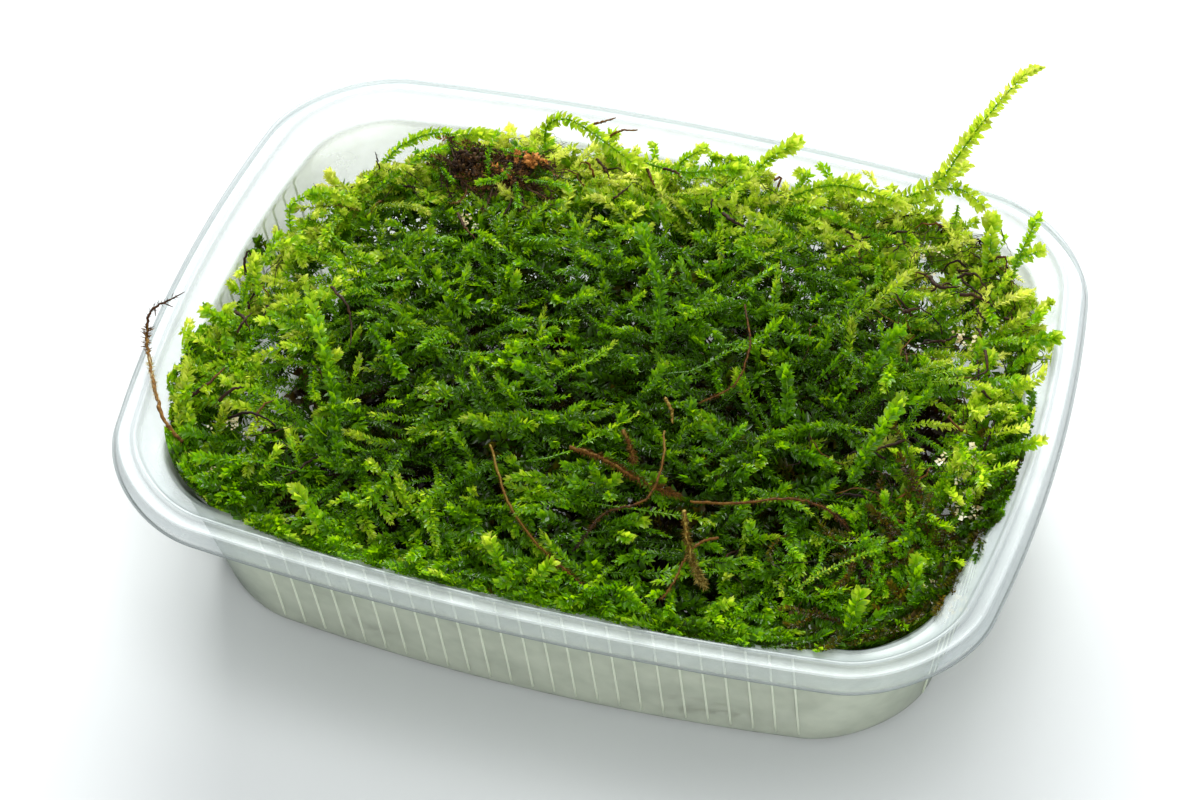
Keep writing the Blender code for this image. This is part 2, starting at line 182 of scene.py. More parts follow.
# %% Table
bpy.ops.mesh.primitive_plane_add(size=4.0, location=(0.0, 0.0, 0.0))
table = bpy.context.active_object
table.name = "table"
table_material, table_tree, table_output = new_material("white table")
table_shader = add_node(table_tree, "ShaderNodeBsdfPrincipled")
table_shader.inputs["Base Color"].default_value = hex_colour("#d4d8d8")
table_shader.inputs["Roughness"].default_value = 0.8   # matt paper: no shine under the tub
table_tree.links.new(table_shader.outputs[0], table_output.inputs[0])
table.data.materials.append(table_material)
print("table:", tuple(table.dimensions))

# %% [markdown]
# The light is that of a light tent.  It comes from everywhere, a little more from above and behind,
# so the thin leaves at the edges glow and the middle of the heap stays dark.  Colours are shown as
# they are: the usual film-like view would grey the full green of wet leaves.

# %% Light
bpy.context.scene.view_settings.view_transform = "Standard"
TENT_LIGHT = 0.59
world = bpy.data.worlds.new("light tent")
world.use_nodes = True
world.node_tree.nodes["Background"].inputs[0].default_value = hex_colour("#f7f8fb")
world.node_tree.nodes["Background"].inputs[1].default_value = TENT_LIGHT
bpy.context.scene.world = world

SOFTBOXES = (
    # name, place in metres, size in metres, power in watts
    ("softbox_back", (-0.20, 0.70, 0.45), 0.5, 11.5),
    ("softbox_top", (0.10, 0.05, 1.00), 0.4, 3.6),
    ("softbox_front", (0.50, -0.60, 0.70), 0.3, 3.0),
)
LAMP_TARGET = Vector((0.0, 0.0, 0.04))
for name, place, size, power in SOFTBOXES:
    lamp_data = bpy.data.lights.new(name, "AREA")
    lamp_data.size = size
    lamp_data.energy = power
    lamp = bpy.data.objects.new(name, lamp_data)
    lamp.location = place
    lamp.rotation_euler = (LAMP_TARGET - Vector(place)).to_track_quat("-Z", "Y").to_euler()
    bpy.context.scene.collection.objects.link(lamp)
print("softboxes:", len(SOFTBOXES))

# %% [markdown]
# The tub is one injection moulding with a wall of 0.7 mm.  Going up its inside there is a flat
# floor, a wall with shallow ribs that stop stacked tubs from jamming, a ledge, a smooth band, the
# flat lip and a skirt turned down outside.  It could be a Solidify over a loft.  A grid carried
# round the outline gives the ribs too, because each column of the grid knows its place along the
# side.

# %% Tub outline
RIM_HALF = (82.6, 61.7)   # half length and half width of the rim, before its sides bow out
RIM_CORNER = 20.4
BOW = (6.9, 5.6)          # how far the middle of a short and of a long side bows out
CORNER_COLUMNS = 40
SIDE_COLUMNS = (150, 100)


def outline_columns():
    """Where each column stands: its corner, the angle on the arc, and its place along the next side.

    A column on an arc has place 0.  A column on a side has the angle of the arc's end and a
    place between 0 and 1.
    """
    corners, angles, places = [], [], []
    for quarter in range(4):
        count = SIDE_COLUMNS[quarter % 2]
        angles.append(np.radians(90.0 * quarter + np.linspace(0.0, 90.0, CORNER_COLUMNS)))
        angles.append(np.full(count, np.radians(90.0 * (quarter + 1))))
        places.append(np.zeros(CORNER_COLUMNS))
        places.append(np.linspace(0.0, 1.0, count + 2)[1:-1])
        corners.append(np.full(CORNER_COLUMNS + count, quarter))
    return tuple(np.concatenate(part) for part in (corners, angles, places))


CORNER, ANGLE, PLACE = outline_columns()
CORNER_SIGN = np.array(((1, 1), (-1, 1), (-1, -1), (1, -1)))


def outline(half, corner):
    """A rounded rectangle with bowed sides: arc centre plus radius at the angle, then on to the next centre.

    A point on a side moves out by the bow times one minus the square of its place along it.
    """
    centres = CORNER_SIGN * (np.array(half) - corner)
    start = centres[CORNER] * (1.0 - PLACE[:, None]) + centres[(CORNER + 1) % 4] * PLACE[:, None]
    ring = start + corner * np.stack((np.cos(ANGLE), np.sin(ANGLE)), axis=1)
    share = ring / np.array(half)
    bulge = np.sign(share) * np.array(BOW) * (1.0 - share[:, ::-1] ** 2) * share**2
    return ring + bulge


print("columns round the tub:", len(ANGLE))

# %% [markdown]
# The wall leans out, so that stacked tubs come apart.  Its outline widens evenly from the floor to
# the ledge.  The moss needs the same numbers later, to lie against the wall and not through it.

# %% Wall
WALL_THICK = 0.7
FLOOR_INSET = (13.1, 15.4)   # how far the floor's outline lies inside the rim's, along x and y
FLOOR_CORNER = 16.5
FLOOR_FILLET = 2.4
LEDGE_INSET = 8.7
LEDGE_DROP = 4.3             # how far the ledge lies below the rim
LEDGE_CORNER = RIM_CORNER - 6.2


def wall_rise(z):
    """How far up the tapered wall a height is, from 0 at the floor to 1 at the ledge."""
    return np.clip((z - FLOOR_FILLET) / (RIM_Z - LEDGE_DROP - FLOOR_FILLET), 0.0, 1.0)


def wall_half(z):
    """Half sizes of the wall's inner face: the rim's less the floor's inset, which shrinks to the ledge's."""
    rise = wall_rise(z)
    return [RIM_HALF[axis] - FLOOR_INSET[axis] + rise * (FLOOR_INSET[axis] - LEDGE_INSET) for axis in (0, 1)]


def wall_ring(z):
    """The wall's inner outline at a height."""
    return outline(wall_half(z), FLOOR_CORNER + wall_rise(z) * (LEDGE_CORNER - FLOOR_CORNER))


print("wall at the ledge, half sizes:", np.round(wall_half(RIM_Z - LEDGE_DROP), 1), "mm")

# %% [markdown]
# The shell's middle face is a stack of rings: the floor, its rounded edge, the wall, and then the
# ledge, lip and skirt from a table.  The table also says how sharp each turn is, because the resin
# is painted darker along a sharp turn, a painted shade, and is a little less clear there.

# %% Rings of the shell
FLOOR_SHARES = (0.02, 0.35, 0.7, 0.97)
FILLET_RINGS = 7
WALL_HEIGHTS = (6.0, 14.0, 22.0, 30.0, 36.0, 39.0)
RIM_RINGS = (
    # how far in from the rim's outline, how far below the rim, and how sharp the turn is there, 0 to 1
    (8.75, 4.45, 1.0), (8.5, 3.75, 0.3), (8.1, 3.35, 0.0), (7.3, 3.15, 0.0), (6.0, 2.5, 0.1),
    (4.7, 1.65, 0.2), (4.15, 1.05, 0.5), (3.95, 0.55, 0.9), (3.7, 0.28, 1.0), (3.4, 0.22, 0.6),
    (3.1, 0.34, 0.4), (2.9, 0.62, 0.9), (2.6, 0.7, 0.5), (1.9, 0.66, 0.0), (1.3, 0.62, 0.0),
    (1.05, 0.5, 0.3), (0.85, 0.36, 0.7), (0.6, 0.34, 0.9), (0.35, 0.42, 1.0), (0.15, 0.7, 0.8),
    (0.05, 1.1, 0.4), (-0.1, 2.0, 0.1), (-0.25, 2.9, 0.3), (-0.45, 3.1, 0.7), (-0.6, 3.25, 1.0),
    (-0.6, 3.4, 1.0),
)


def shell_rings():
    """Rings of the middle face, from the floor's middle up over the rim and down the skirt.

    In the rounded edge the inset goes as 1 - sin and the height as 1 - cos of the turn.
    """
    rings = []
    floor_middle = 0.5 * WALL_THICK
    floor_half = [RIM_HALF[axis] - FLOOR_INSET[axis] - FLOOR_FILLET for axis in (0, 1)]
    for shrink in FLOOR_SHARES:
        rings.append((outline(floor_half, FLOOR_CORNER - FLOOR_FILLET) * shrink, floor_middle))
    for turn in np.radians(np.linspace(0.0, 90.0, FILLET_RINGS)):
        in_by = FLOOR_FILLET * (1.0 - np.sin(turn))
        half = [RIM_HALF[axis] - FLOOR_INSET[axis] - in_by for axis in (0, 1)]
        height = floor_middle + FLOOR_FILLET * (1.0 - np.cos(turn))
        rings.append((outline(half, FLOOR_CORNER - in_by), height))
    for z in WALL_HEIGHTS:
        rings.append((wall_ring(z), z))
    for inset, drop, _ in RIM_RINGS:
        rings.append((outline([half - inset for half in RIM_HALF], RIM_CORNER - inset), RIM_Z - drop))
    return rings


rings = shell_rings()
print("rings of the shell:", len(rings))

# %% [markdown]
# Moving the middle face half a wall's thickness out and in, along its own normals, gives both
# faces of the shell.  They meet at the skirt's edge, and the floor is closed with a fan.

# %% Tub mesh
RIM_THICK = 0.55   # the lip and skirt are thinner than the wall
THICK_BELOW = 3.0  # the wall's thickness ends this far below the rim


def ring_grid(rows, columns):
    """The cells between neighbouring rings of points: each one's first point and the next one round."""
    low = (np.arange(rows - 1)[:, None] * columns + np.arange(columns)).ravel()
    right = (np.arange(rows - 1)[:, None] * columns + np.roll(np.arange(columns), -1)).ravel()
    return low, right


def tub_mesh(rings):
    """Offset the middle face both ways along its normals, and join the two faces at the skirt's edge."""
    rows, columns = len(rings), len(ANGLE)
    middle = np.array([np.column_stack((ring, np.full(columns, z))) for ring, z in rings])
    round_way = np.roll(middle, -1, axis=1) - np.roll(middle, 1, axis=1)
    up_way = np.gradient(middle, axis=0)
    normal = np.cross(round_way, up_way)
    normal /= np.linalg.norm(normal, axis=2, keepdims=True)
    normal[0] = (0.0, 0.0, -1.0)
    thick = np.array([WALL_THICK if z < RIM_Z - THICK_BELOW else RIM_THICK for _, z in rings])[:, None, None]
    outer = middle + normal * 0.5 * thick
    inner = middle - normal * 0.5 * thick
    points = np.concatenate((outer, inner[::-1])).reshape(-1, 3)
    low, right = ring_grid(2 * rows, columns)
    triangles = np.concatenate((np.stack((low, right, right + columns), axis=1),
                                np.stack((low, right + columns, low + columns), axis=1)))
    hubs = np.array(((0.0, 0.0, 0.0), (0.0, 0.0, WALL_THICK)))
    first, last = np.arange(columns), np.arange(columns) + (2 * rows - 1) * columns
    hub = len(points)
    caps = np.concatenate((np.stack((np.full(columns, hub), np.roll(first, -1), first), axis=1),
                           np.stack((np.full(columns, hub + 1), last, np.roll(last, -1)), axis=1)))
    return np.concatenate((points, hubs)), np.concatenate((triangles, caps))


def ring_turns(rows):
    """How sharp the shell turns at each of its points: from the table at the rim, 0 on the wall and floor."""
    turns = np.zeros(rows)
    turns[-len(RIM_RINGS):] = [turn for _, _, turn in RIM_RINGS]
    return np.append(np.repeat(np.concatenate((turns, turns[::-1])), len(ANGLE)), (0.0, 0.0))


tub = put_on_mesh("tub_shell", *tub_mesh(rings))
corner_layer = tub.data.attributes.new("corner", "FLOAT", "POINT")
corner_layer.data.foreach_set("value", ring_turns(len(rings)).astype(np.float32))
print("points of the shell:", len(tub.data.vertices))

# %% [markdown]
# Tubs like this are injection-moulded polypropylene.  The resin is milky: part of the light
# scatters white in the wall and the rest comes straight through.  A face seen edge-on is a longer
# way through the plastic, so it hides more of what is behind it, and its colour is painted darker
# there, a painted shade.  Alpha does this hiding here.  It rises with Layer Weight, and it is higher
# on the matt wall below the ledge than on the rim.  On the inside of the front wall it is raised more
# in patches, most near the corners, so that the lit veil paints those parts paler: painted light.

# %% Polypropylene
RIM_START, RIM_FULL = 0.0395, 0.0412      # heights in metres where the wall's finish turns to the rim's
FLOW_MARK = 2.5 * MM                      # width of the moulding's flow marks
LIGHTENING_PATCH = 9.0 * MM                     # width of a patch of the painted lightening
PP_IOR = 1.49


def resin_colour(tree, at_rim, facing, corner, edge_code):
    """Colour of the resin with painted shade: darker edge-on and along sharp turns of the shell.

    It is the edge colour's ramp by facing, a painted shade, times a slight warmth below the ledge,
    times 1 falling to 0.74 with the sharpness of the turn, a painted shade along the bends.
    """
    # painted shade: the colour darkens as the face turns edge-on
    edge_on_shade = add_node(tree, "ShaderNodeValToRGB", [(facing, 0)])
    set_ramp(edge_on_shade, ((0.0, "#e2ebe7"), (0.4, "#dce5e2"), (0.85, edge_code)))
    warmth = add_node(tree, "ShaderNodeValToRGB", [(at_rim, 0)])
    set_ramp(warmth, ((0.0, "#fffeea"), (1.0, "#f2f5f9")))
    # painted shade: the colour darkens to 0.74 along the sharp turns of the rim
    painted_turn_shade = add_node(tree, "ShaderNodeMapRange", [(corner, 0)], in_3=1.0, in_4=0.74)
    tint = add_node(tree, "ShaderNodeVectorMath", [(edge_on_shade.outputs[0], 0), (warmth.outputs[0], 1)],
                    operation="MULTIPLY")
    colour = add_node(tree, "ShaderNodeVectorMath", [(tint.outputs[0], 0), (painted_turn_shade.outputs[0], 1)],
                      operation="MULTIPLY")
    return colour.outputs[0]


def front_wall_lightening(tree, place, split, at_rim):
    """Painted light on the front wall, a paler veil: its strength, which grows towards the corners, and where
    it lies.

    Where it lies is the product of three: 0 to 1 over the last 24 mm to the front, 1 below the
    ledge, and patches between 0.3 and 1.4.
    """
    across = add_node(tree, "ShaderNodeMath", [(split.outputs["X"], 0)], operation="ABSOLUTE")
    strength = add_node(tree, "ShaderNodeMapRange", [(across.outputs[0], 0)], in_1=0.052, in_2=0.078,
                        in_3=0.14, in_4=0.42)
    at_front = add_node(tree, "ShaderNodeMapRange", [(split.outputs["Y"], 0)], in_1=-0.030, in_2=-0.054)
    below = add_node(tree, "ShaderNodeMapRange", [(at_rim, 0)], in_3=1.0, in_4=0.0)
    patches = add_node(tree, "ShaderNodeTexNoise", [(place, "Vector")])
    patches.inputs["Scale"].default_value = 1.0 / LIGHTENING_PATCH
    patches.inputs["Detail"].default_value = 2.0
    uneven = add_node(tree, "ShaderNodeMapRange", [(patches.outputs[0], 0)], in_1=0.35, in_2=0.62,
                      in_3=0.3, in_4=1.4)
    front_only = add_node(tree, "ShaderNodeMath", [(at_front.outputs[0], 0), (below.outputs[0], 1)],
                          operation="MULTIPLY")
    where = add_node(tree, "ShaderNodeMath", [(front_only.outputs[0], 0), (uneven.outputs[0], 1)],
                     operation="MULTIPLY")
    return strength.outputs[0], where.outputs[0]


def polypropylene(name, edge_code, rim_veil, wall_veil):
    """Milky see-through plastic: each face veils what is behind it.

    Alpha is the veil of the rim or the wall, plus 0.6 of how far the face is turned away with
    faint flow marks in it, plus the painted lightening of the front wall, plus 0.16 along the sharp turns.
    """
    material, tree, output = new_material(name)
    place = add_node(tree, "ShaderNodeTexCoord")
    split = add_node(tree, "ShaderNodeSeparateXYZ", [(place.outputs["Object"], 0)])
    at_rim = add_node(tree, "ShaderNodeMapRange", [(split.outputs["Z"], 0)], in_1=RIM_START, in_2=RIM_FULL)
    edge = add_node(tree, "ShaderNodeLayerWeight", in_0=0.35)
    corner = add_node(tree, "ShaderNodeAttribute", attribute_name="corner")
    colour = resin_colour(tree, at_rim.outputs[0], edge.outputs["Facing"], corner.outputs["Fac"], edge_code)
    strength, where = front_wall_lightening(tree, place.outputs["Object"], split, at_rim.outputs[0])

    veil = add_node(tree, "ShaderNodeMapRange", [(at_rim.outputs[0], 0)], in_3=wall_veil, in_4=rim_veil)
    grain = add_node(tree, "ShaderNodeTexNoise", [(place.outputs["Object"], "Vector")])
    grain.inputs["Scale"].default_value = 1.0 / FLOW_MARK
    grain.inputs["Detail"].default_value = 3.0
    flow = add_node(tree, "ShaderNodeMath", [(grain.outputs[0], 0)], operation="MULTIPLY_ADD",
                    in_1=0.12, in_2=-0.06)
    depth = add_node(tree, "ShaderNodeMath", [(edge.outputs["Facing"], 0), (flow.outputs[0], 2)],
                     operation="MULTIPLY_ADD", in_1=0.6)
    body = add_node(tree, "ShaderNodeMath", [(veil.outputs[0], 0), (depth.outputs[0], 1)], operation="ADD")
    # painted light: more veil on the front wall near the corners, so the lit plastic shows paler there
    milky = add_node(tree, "ShaderNodeMath", [(strength, 0), (where, 1), (body.outputs[0], 2)],
                     operation="MULTIPLY_ADD")
    alpha = add_node(tree, "ShaderNodeMath", [(corner.outputs["Fac"], 0), (milky.outputs[0], 2)],
                     operation="MULTIPLY_ADD", use_clamp=True, in_1=0.16)

    # the wall is matt, so it shines softly, and the rim is smooth, so it shows small bright lights
    rough = add_node(tree, "ShaderNodeMapRange", [(at_rim.outputs[0], 0)], in_3=0.5, in_4=0.3)
    bump = add_node(tree, "ShaderNodeBump", [(grain.outputs[0], "Height")])
    bump.inputs["Strength"].default_value = 0.10
    bump.inputs["Distance"].default_value = 0.1 * MM
    shader = add_node(tree, "ShaderNodeBsdfPrincipled",
                      [(colour, "Base Color"), (rough.outputs[0], "Roughness"),
                       (alpha.outputs[0], "Alpha"), (bump.outputs[0], "Normal")])
    shader.inputs["IOR"].default_value = PP_IOR
    tree.links.new(shader.outputs[0], output.inputs[0])
    return material


# the shell is clear enough to show the moss, with edges painted grey where it turns away, a painted shade
MOULDED_PP = polypropylene("moulded polypropylene", "#7b8684", 0.12, 0.21)
finish_piece(tub, MOULDED_PP, "clear_tub", "tub")

# %% [markdown]
# A moss leaf is one cell thick, folded a little along its middle, and about 2 mm long.  Its shape
# is a table of a few points: how far along the leaf, how far across, and how far the blade lifts.
# Leaves of the mat have only two facets each, because there are hundreds of thousands of them.
# The single shoots, which stand free, have leaves of twelve.

# %% Leaf shapes
SMALL_LEAF = (
    np.array(((0.0, 0.0, 0.0), (0.45, 0.5, 0.10), (0.45, -0.5, 0.10), (1.0, 0.0, -0.04))),
    np.array(((0, 1, 3), (0, 3, 2))),
)
FINE_LEAF = (
    np.array(((0.0, 0.0, 0.0), (0.18, 0.30, 0.05), (0.18, -0.30, 0.05), (0.42, 0.50, 0.12),
              (0.42, -0.50, 0.12), (0.72, 0.36, 0.10), (0.72, -0.36, 0.10), (1.0, 0.0, -0.10),
              (0.22, 0.0, 0.0), (0.48, 0.0, 0.02), (0.76, 0.0, 0.0))),
    np.array(((0, 1, 8), (0, 8, 2), (1, 3, 9), (1, 9, 8), (8, 9, 4), (8, 4, 2), (3, 5, 10), (3, 10, 9),
              (9, 10, 6), (9, 6, 4), (5, 7, 10), (10, 7, 6))),
)
print("leaf facets:", len(SMALL_LEAF[1]), len(FINE_LEAF[1]))

# %% [markdown]
# Everything that grows here is carried along a path, a row of points in space.  At each point a
# path needs three directions: along itself, across, and out of its flat face.

# %% Directions along paths
def unit(vectors):
    """Vectors scaled to length one."""
    return vectors / np.maximum(np.linalg.norm(vectors, axis=-1, keepdims=True), 1e-9)


def path_frames(paths, face):
    """Directions along, across and out of the face at each sample: across is face cross along."""
    along = unit(np.gradient(paths, axis=1))
    across = unit(np.cross(face[:, None, :], along))
    return along, across, np.cross(along, across)


def sample(values, index):
    """Read values between samples: a share of the lower one and a share of the next."""
    low = np.floor(index).astype(int).clip(0, values.shape[1] - 2)
    part = (index - low)[..., None]
    rows = np.arange(len(values))[:, None]
    return values[rows, low] * (1.0 - part) + values[rows, low + 1] * part


# %% [markdown]
# Every shoot is a path with leaves set along it.  The leaves stand in two rows, left and right,
# with a few on the face, and lean forward more and more towards the tip, where they close into a
# blunt bud.  All shoots of one piece are worked out together: arrays of shoots by leaves by points.

# %% Leaves along paths
LEAF_TURNS = (0.0, np.pi, 0.0, np.pi, 0.5 * np.pi)   # two on each side and then one on the face
CLOSING_FROM = 0.78                                  # the bud starts at this share of the way


def leaf_directions(place, closing, turn, ahead, aside, outward, draw):
    """Three directions of each leaf: where it heads, across its blade, and the side it lifts to.

    It heads cos(spread) along the stem plus sin(spread) outwards.  Spread is 68 degrees at the
    foot, 10 less at the tip, and 30 less again where the bud closes, with 9 degrees of chance.
    The blade lies in the shoot's own plane on a leaf at the side, and across the stem on a leaf
    that stands on the face.
    """
    spread = np.radians(68.0 - 10.0 * place - 30.0 * closing + draw.normal(0.0, 9.0, place.shape))[..., None]
    outwards = np.cos(turn)[..., None] * aside + np.sin(turn)[..., None] * outward
    heading = np.cos(spread) * ahead + np.sin(spread) * outwards
    in_plane = unit(ahead - (ahead * heading).sum(-1, keepdims=True) * heading)
    tangent = -np.sin(turn)[..., None] * aside + np.cos(turn)[..., None] * outward
    on_face = np.abs(np.sin(turn))[..., None] ** 2
    blade = in_plane * (1.0 - on_face) + tangent * on_face
    blade = unit(blade - (blade * heading).sum(-1, keepdims=True) * heading)
    twist = draw.normal(0.0, 0.5, place.shape)[..., None]
    blade = blade * np.cos(twist) + np.cross(heading, blade) * np.sin(twist)
    lift = np.cross(heading, blade)
    lift *= np.where((lift * outward).sum(-1, keepdims=True) < 0.0, -1.0, 1.0)
    return heading, blade, lift


def leaves_on(paths, face, count, length, width, growth, tone, shape, draw, flat=0.35, taper=0.0, bud=0.25):
    """Points, triangles, growth and tone of the leaves of all shoots.

    Leaves stand evenly along each path, with some chance.  They are shorter at the foot, by 45
    percent times (1 - place) to the fourth, swell by the bud's share at 88 percent of the way, and
    shrink again at the very tip.  Growth goes from the foot's to the tip's with place to the 2.5.
    """
    template, facets = shape
    shoots, samples = paths.shape[:2]
    along, across, out = path_frames(paths, face)
    place = (np.arange(count) + 0.5) / count + draw.normal(0.0, 0.25 / count, (shoots, count))
    place = place.clip(0.0, 1.0)
    index = place * (samples - 1)
    foot, ahead, aside, outward = (sample(values, index) for values in (paths, along, across, out))
    turn = np.tile(np.array(LEAF_TURNS), count // len(LEAF_TURNS) + 1)[:count]
    turn = turn + draw.normal(0.0, flat, (shoots, count))
    closing = np.clip((place - CLOSING_FROM) / (1.0 - CLOSING_FROM), 0.0, 1.0) ** 1.5
    heading, blade, lift = leaf_directions(place, closing, turn, ahead, aside, outward, draw)

    swell = np.exp(-(((place - 0.88) / 0.10) ** 2))
    size = length[:, None] * (1.0 - 0.45 * (1.0 - place) ** 4 + bud * swell - 0.3 * closing)
    size = size * (1.0 - taper * place**2)
    size = (size * draw.uniform(0.75, 1.2, place.shape))[..., None, None]
    wide = size * (width / length)[:, None, None, None] * (1.0 + bud * swell[..., None, None])
    points = (foot[:, :, None, :] + heading[:, :, None, :] * template[:, :1] * size
              + blade[:, :, None, :] * template[:, 1:2] * wide + lift[:, :, None, :] * template[:, 2:] * size)
    leaves = shoots * count
    triangles = (facets[None] + (np.arange(leaves) * len(template))[:, None, None]).reshape(-1, 3)

    ripe = place**2.5
    fresh = growth[:, :1] * (1.0 - ripe) + growth[:, 1:] * ripe + draw.normal(0.0, 0.04, place.shape)
    fresh = fresh[..., None] + 0.10 * (template[:, 0] - 0.5)
    shade = tone[:, None] + 0.12 * (ripe - 0.4) + 0.2 * bud * swell + draw.normal(0.0, 0.20, place.shape)
    shade = np.broadcast_to(shade[..., None], fresh.shape)
    return points.reshape(-1, 3), triangles, fresh.ravel(), shade.ravel()


# %% [markdown]
# Stems, twigs, ribs and roots are all round rods, so one function makes them: a small ring of
# points at each sample of a path, joined into a tube with closed ends.  A curve with a bevel would
# do it too, but here hundreds of rods become one mesh at once.

# %% Tubes along paths
def tubes(paths, radius, sides, growth, tone, tip=0.4):
    """Closed round stems along all paths: a ring of sides at each sample.

    The radius, one for each path or one for each sample, shrinks with the square of the way to
    the tip's share of it.
    """
    count, samples = paths.shape[:2]
    tangents = unit(np.gradient(paths, axis=1))
    guide = np.where(np.abs(tangents[:, :1, 2:]) > 0.9, (1.0, 0.0, 0.0), (0.0, 0.0, 1.0))
    across = unit(np.cross(tangents, guide))
    out = np.cross(tangents, across)
    angles = np.arange(sides) * 2.0 * np.pi / sides
    place = np.linspace(0.0, 1.0, samples)
    girth = np.broadcast_to(radius, (count, samples)) if np.ndim(radius) == 2 else radius[:, None]
    girth = (girth * (1.0 - (1.0 - tip) * place**2))[..., None, None]
    ring = across[:, :, None] * np.cos(angles)[:, None] + out[:, :, None] * np.sin(angles)[:, None]
    points = (paths[:, :, None] + girth * ring).reshape(count, -1, 3)
    points = np.concatenate((points, paths[:, :1], paths[:, -1:]), axis=1)
    here, turned = ring_grid(samples, sides)
    last = (samples - 1) * sides
    ring_ids, next_ids = np.arange(sides), np.roll(np.arange(sides), -1)
    hub = samples * sides
    one = np.concatenate((np.stack((here, here + sides, turned + sides), axis=1),
                          np.stack((here, turned + sides, turned), axis=1),
                          np.stack((np.full(sides, hub), ring_ids, next_ids), axis=1),
                          np.stack((np.full(sides, hub + 1), last + next_ids, last + ring_ids), axis=1)))
    per = points.shape[1]
    triangles = (one[None] + (np.arange(count) * per)[:, None, None]).reshape(-1, 3)
    fresh = growth[:, :1] * (1.0 - place) + growth[:, 1:] * place
    fresh = np.concatenate((np.repeat(fresh, sides, axis=1), growth), axis=1)
    return points.reshape(-1, 3), triangles, fresh.ravel(), np.repeat(tone, per)


def join(*parts):
    """Put several sets of points, triangles, growth and tone into one; triangles are counted on."""
    starts = np.cumsum([0] + [len(part[0]) for part in parts[:-1]])
    triangles = np.concatenate([part[1] + start for part, start in zip(parts, starts)])
    return (np.concatenate([part[0] for part in parts]), triangles,
            *(np.concatenate([part[place] for part in parts]) for place in (2, 3)))


# %% [markdown]
# Thin ribs run up the outside of the long and short sides, 4.4 mm apart, and stop at the corners.
# They keep stacked tubs from jamming.  At the top each one turns sideways in a small hook under
# the rim.  The plastic is thicker there, so they show as white lines.  They are fine half-round
# beads, made as tubes that are half sunk in the wall.

# %% Ribs
RIB_PITCH = 4.4
RIB_COUNTS = (25, 16)      # on a long side and on a short side
RIB_HALF_WIDTH = 0.24
RIB_STATIONS = np.array((
    # height, sideways turn of the hook, and how far it stands out more than the straight rib
    (3.5, 0.0, 0.0), (8.0, 0.0, 0.0), (14.0, 0.0, 0.0), (20.0, 0.0, 0.0), (26.0, 0.0, 0.0), (31.0, 0.0, 0.0),
    (35.0, 0.0, 0.0), (37.2, 0.0, 0.0), (37.9, -0.1, 0.1), (38.3, -0.5, 0.2), (38.5, -1.1, 0.2),
    (38.55, -1.7, 0.1),
))


def rib_paths(axis, sign, count):
    """Paths up the outer wall of one side, then under the band with a sideways turn.

    A rib stays at its own place along the side.  Its distance out is the wall's half size there,
    with the side's bow, and half a wall's thickness.
    """
    heights, hook, outward = RIB_STATIONS.T
    along = (np.arange(count) - 0.5 * (count - 1)) * RIB_PITCH
    half = np.array([wall_half(z) for z in heights])
    share = along[:, None] / half[None, :, axis]
    reach = half[None, :, 1 - axis] + BOW[1 - axis] * (1.0 - share**2) + WALL_THICK * 0.5 + outward
    paths = np.empty((count, len(heights), 3))
    paths[..., axis] = along[:, None] + hook * sign
    paths[..., 1 - axis] = sign * reach
    paths[..., 2] = heights
    return paths


rib_lines = np.concatenate([rib_paths(axis, sign, RIB_COUNTS[axis]) for axis in (0, 1) for sign in (1, -1)])
rib_count = len(rib_lines)
rib_tubes = tubes(rib_lines, np.full(rib_count, RIB_HALF_WIDTH), 6, np.zeros((rib_count, 2)),
                  np.zeros(rib_count), 1.0)
ribs = put_on_mesh("tub_ribs", *rib_tubes[:2])
# the same resin, thicker: half white, more opaque edge-on, and its colour painted a touch lighter edge-on, a
# painted highlight
THICK_PP = polypropylene("thick polypropylene", "#e6eeea", 0.45, 0.6)
finish_piece(ribs, THICK_PP, "clear_tub", "tub")

# %% [markdown]
# Leaves of this moss let light through, so they glow yellow-green against the light and go nearly
# black where others cover them.  The shader is a thin coloured gloss mixed with a translucent
# part of a yellower green.  The growth number picks the colour from brown through deep green to
# the pale green of a new tip, and the tone number makes each leaf a little lighter or darker.

# %% Moss leaf material
LEAF_COLOURS = ((0.0, "#2b1a08"), (0.14, "#4f4210"), (0.28, "#2a3c04"), (0.5, "#3d6a03"), (0.7, "#669c03"),
                (0.86, "#9fba22"), (1.0, "#c8d250"))
GLOW_COLOURS = ((0.0, "#5a3208"), (0.14, "#7a6a10"), (0.28, "#455f02"), (0.5, "#639c02"), (0.7, "#a2cc04"),
                (0.86, "#cfdc38"), (1.0, "#e8ea7c"))
LEAF_MOTTLE = 1.5 * MM   # leaves change colour over about their own length
WET_LEAF_IOR = 1.42


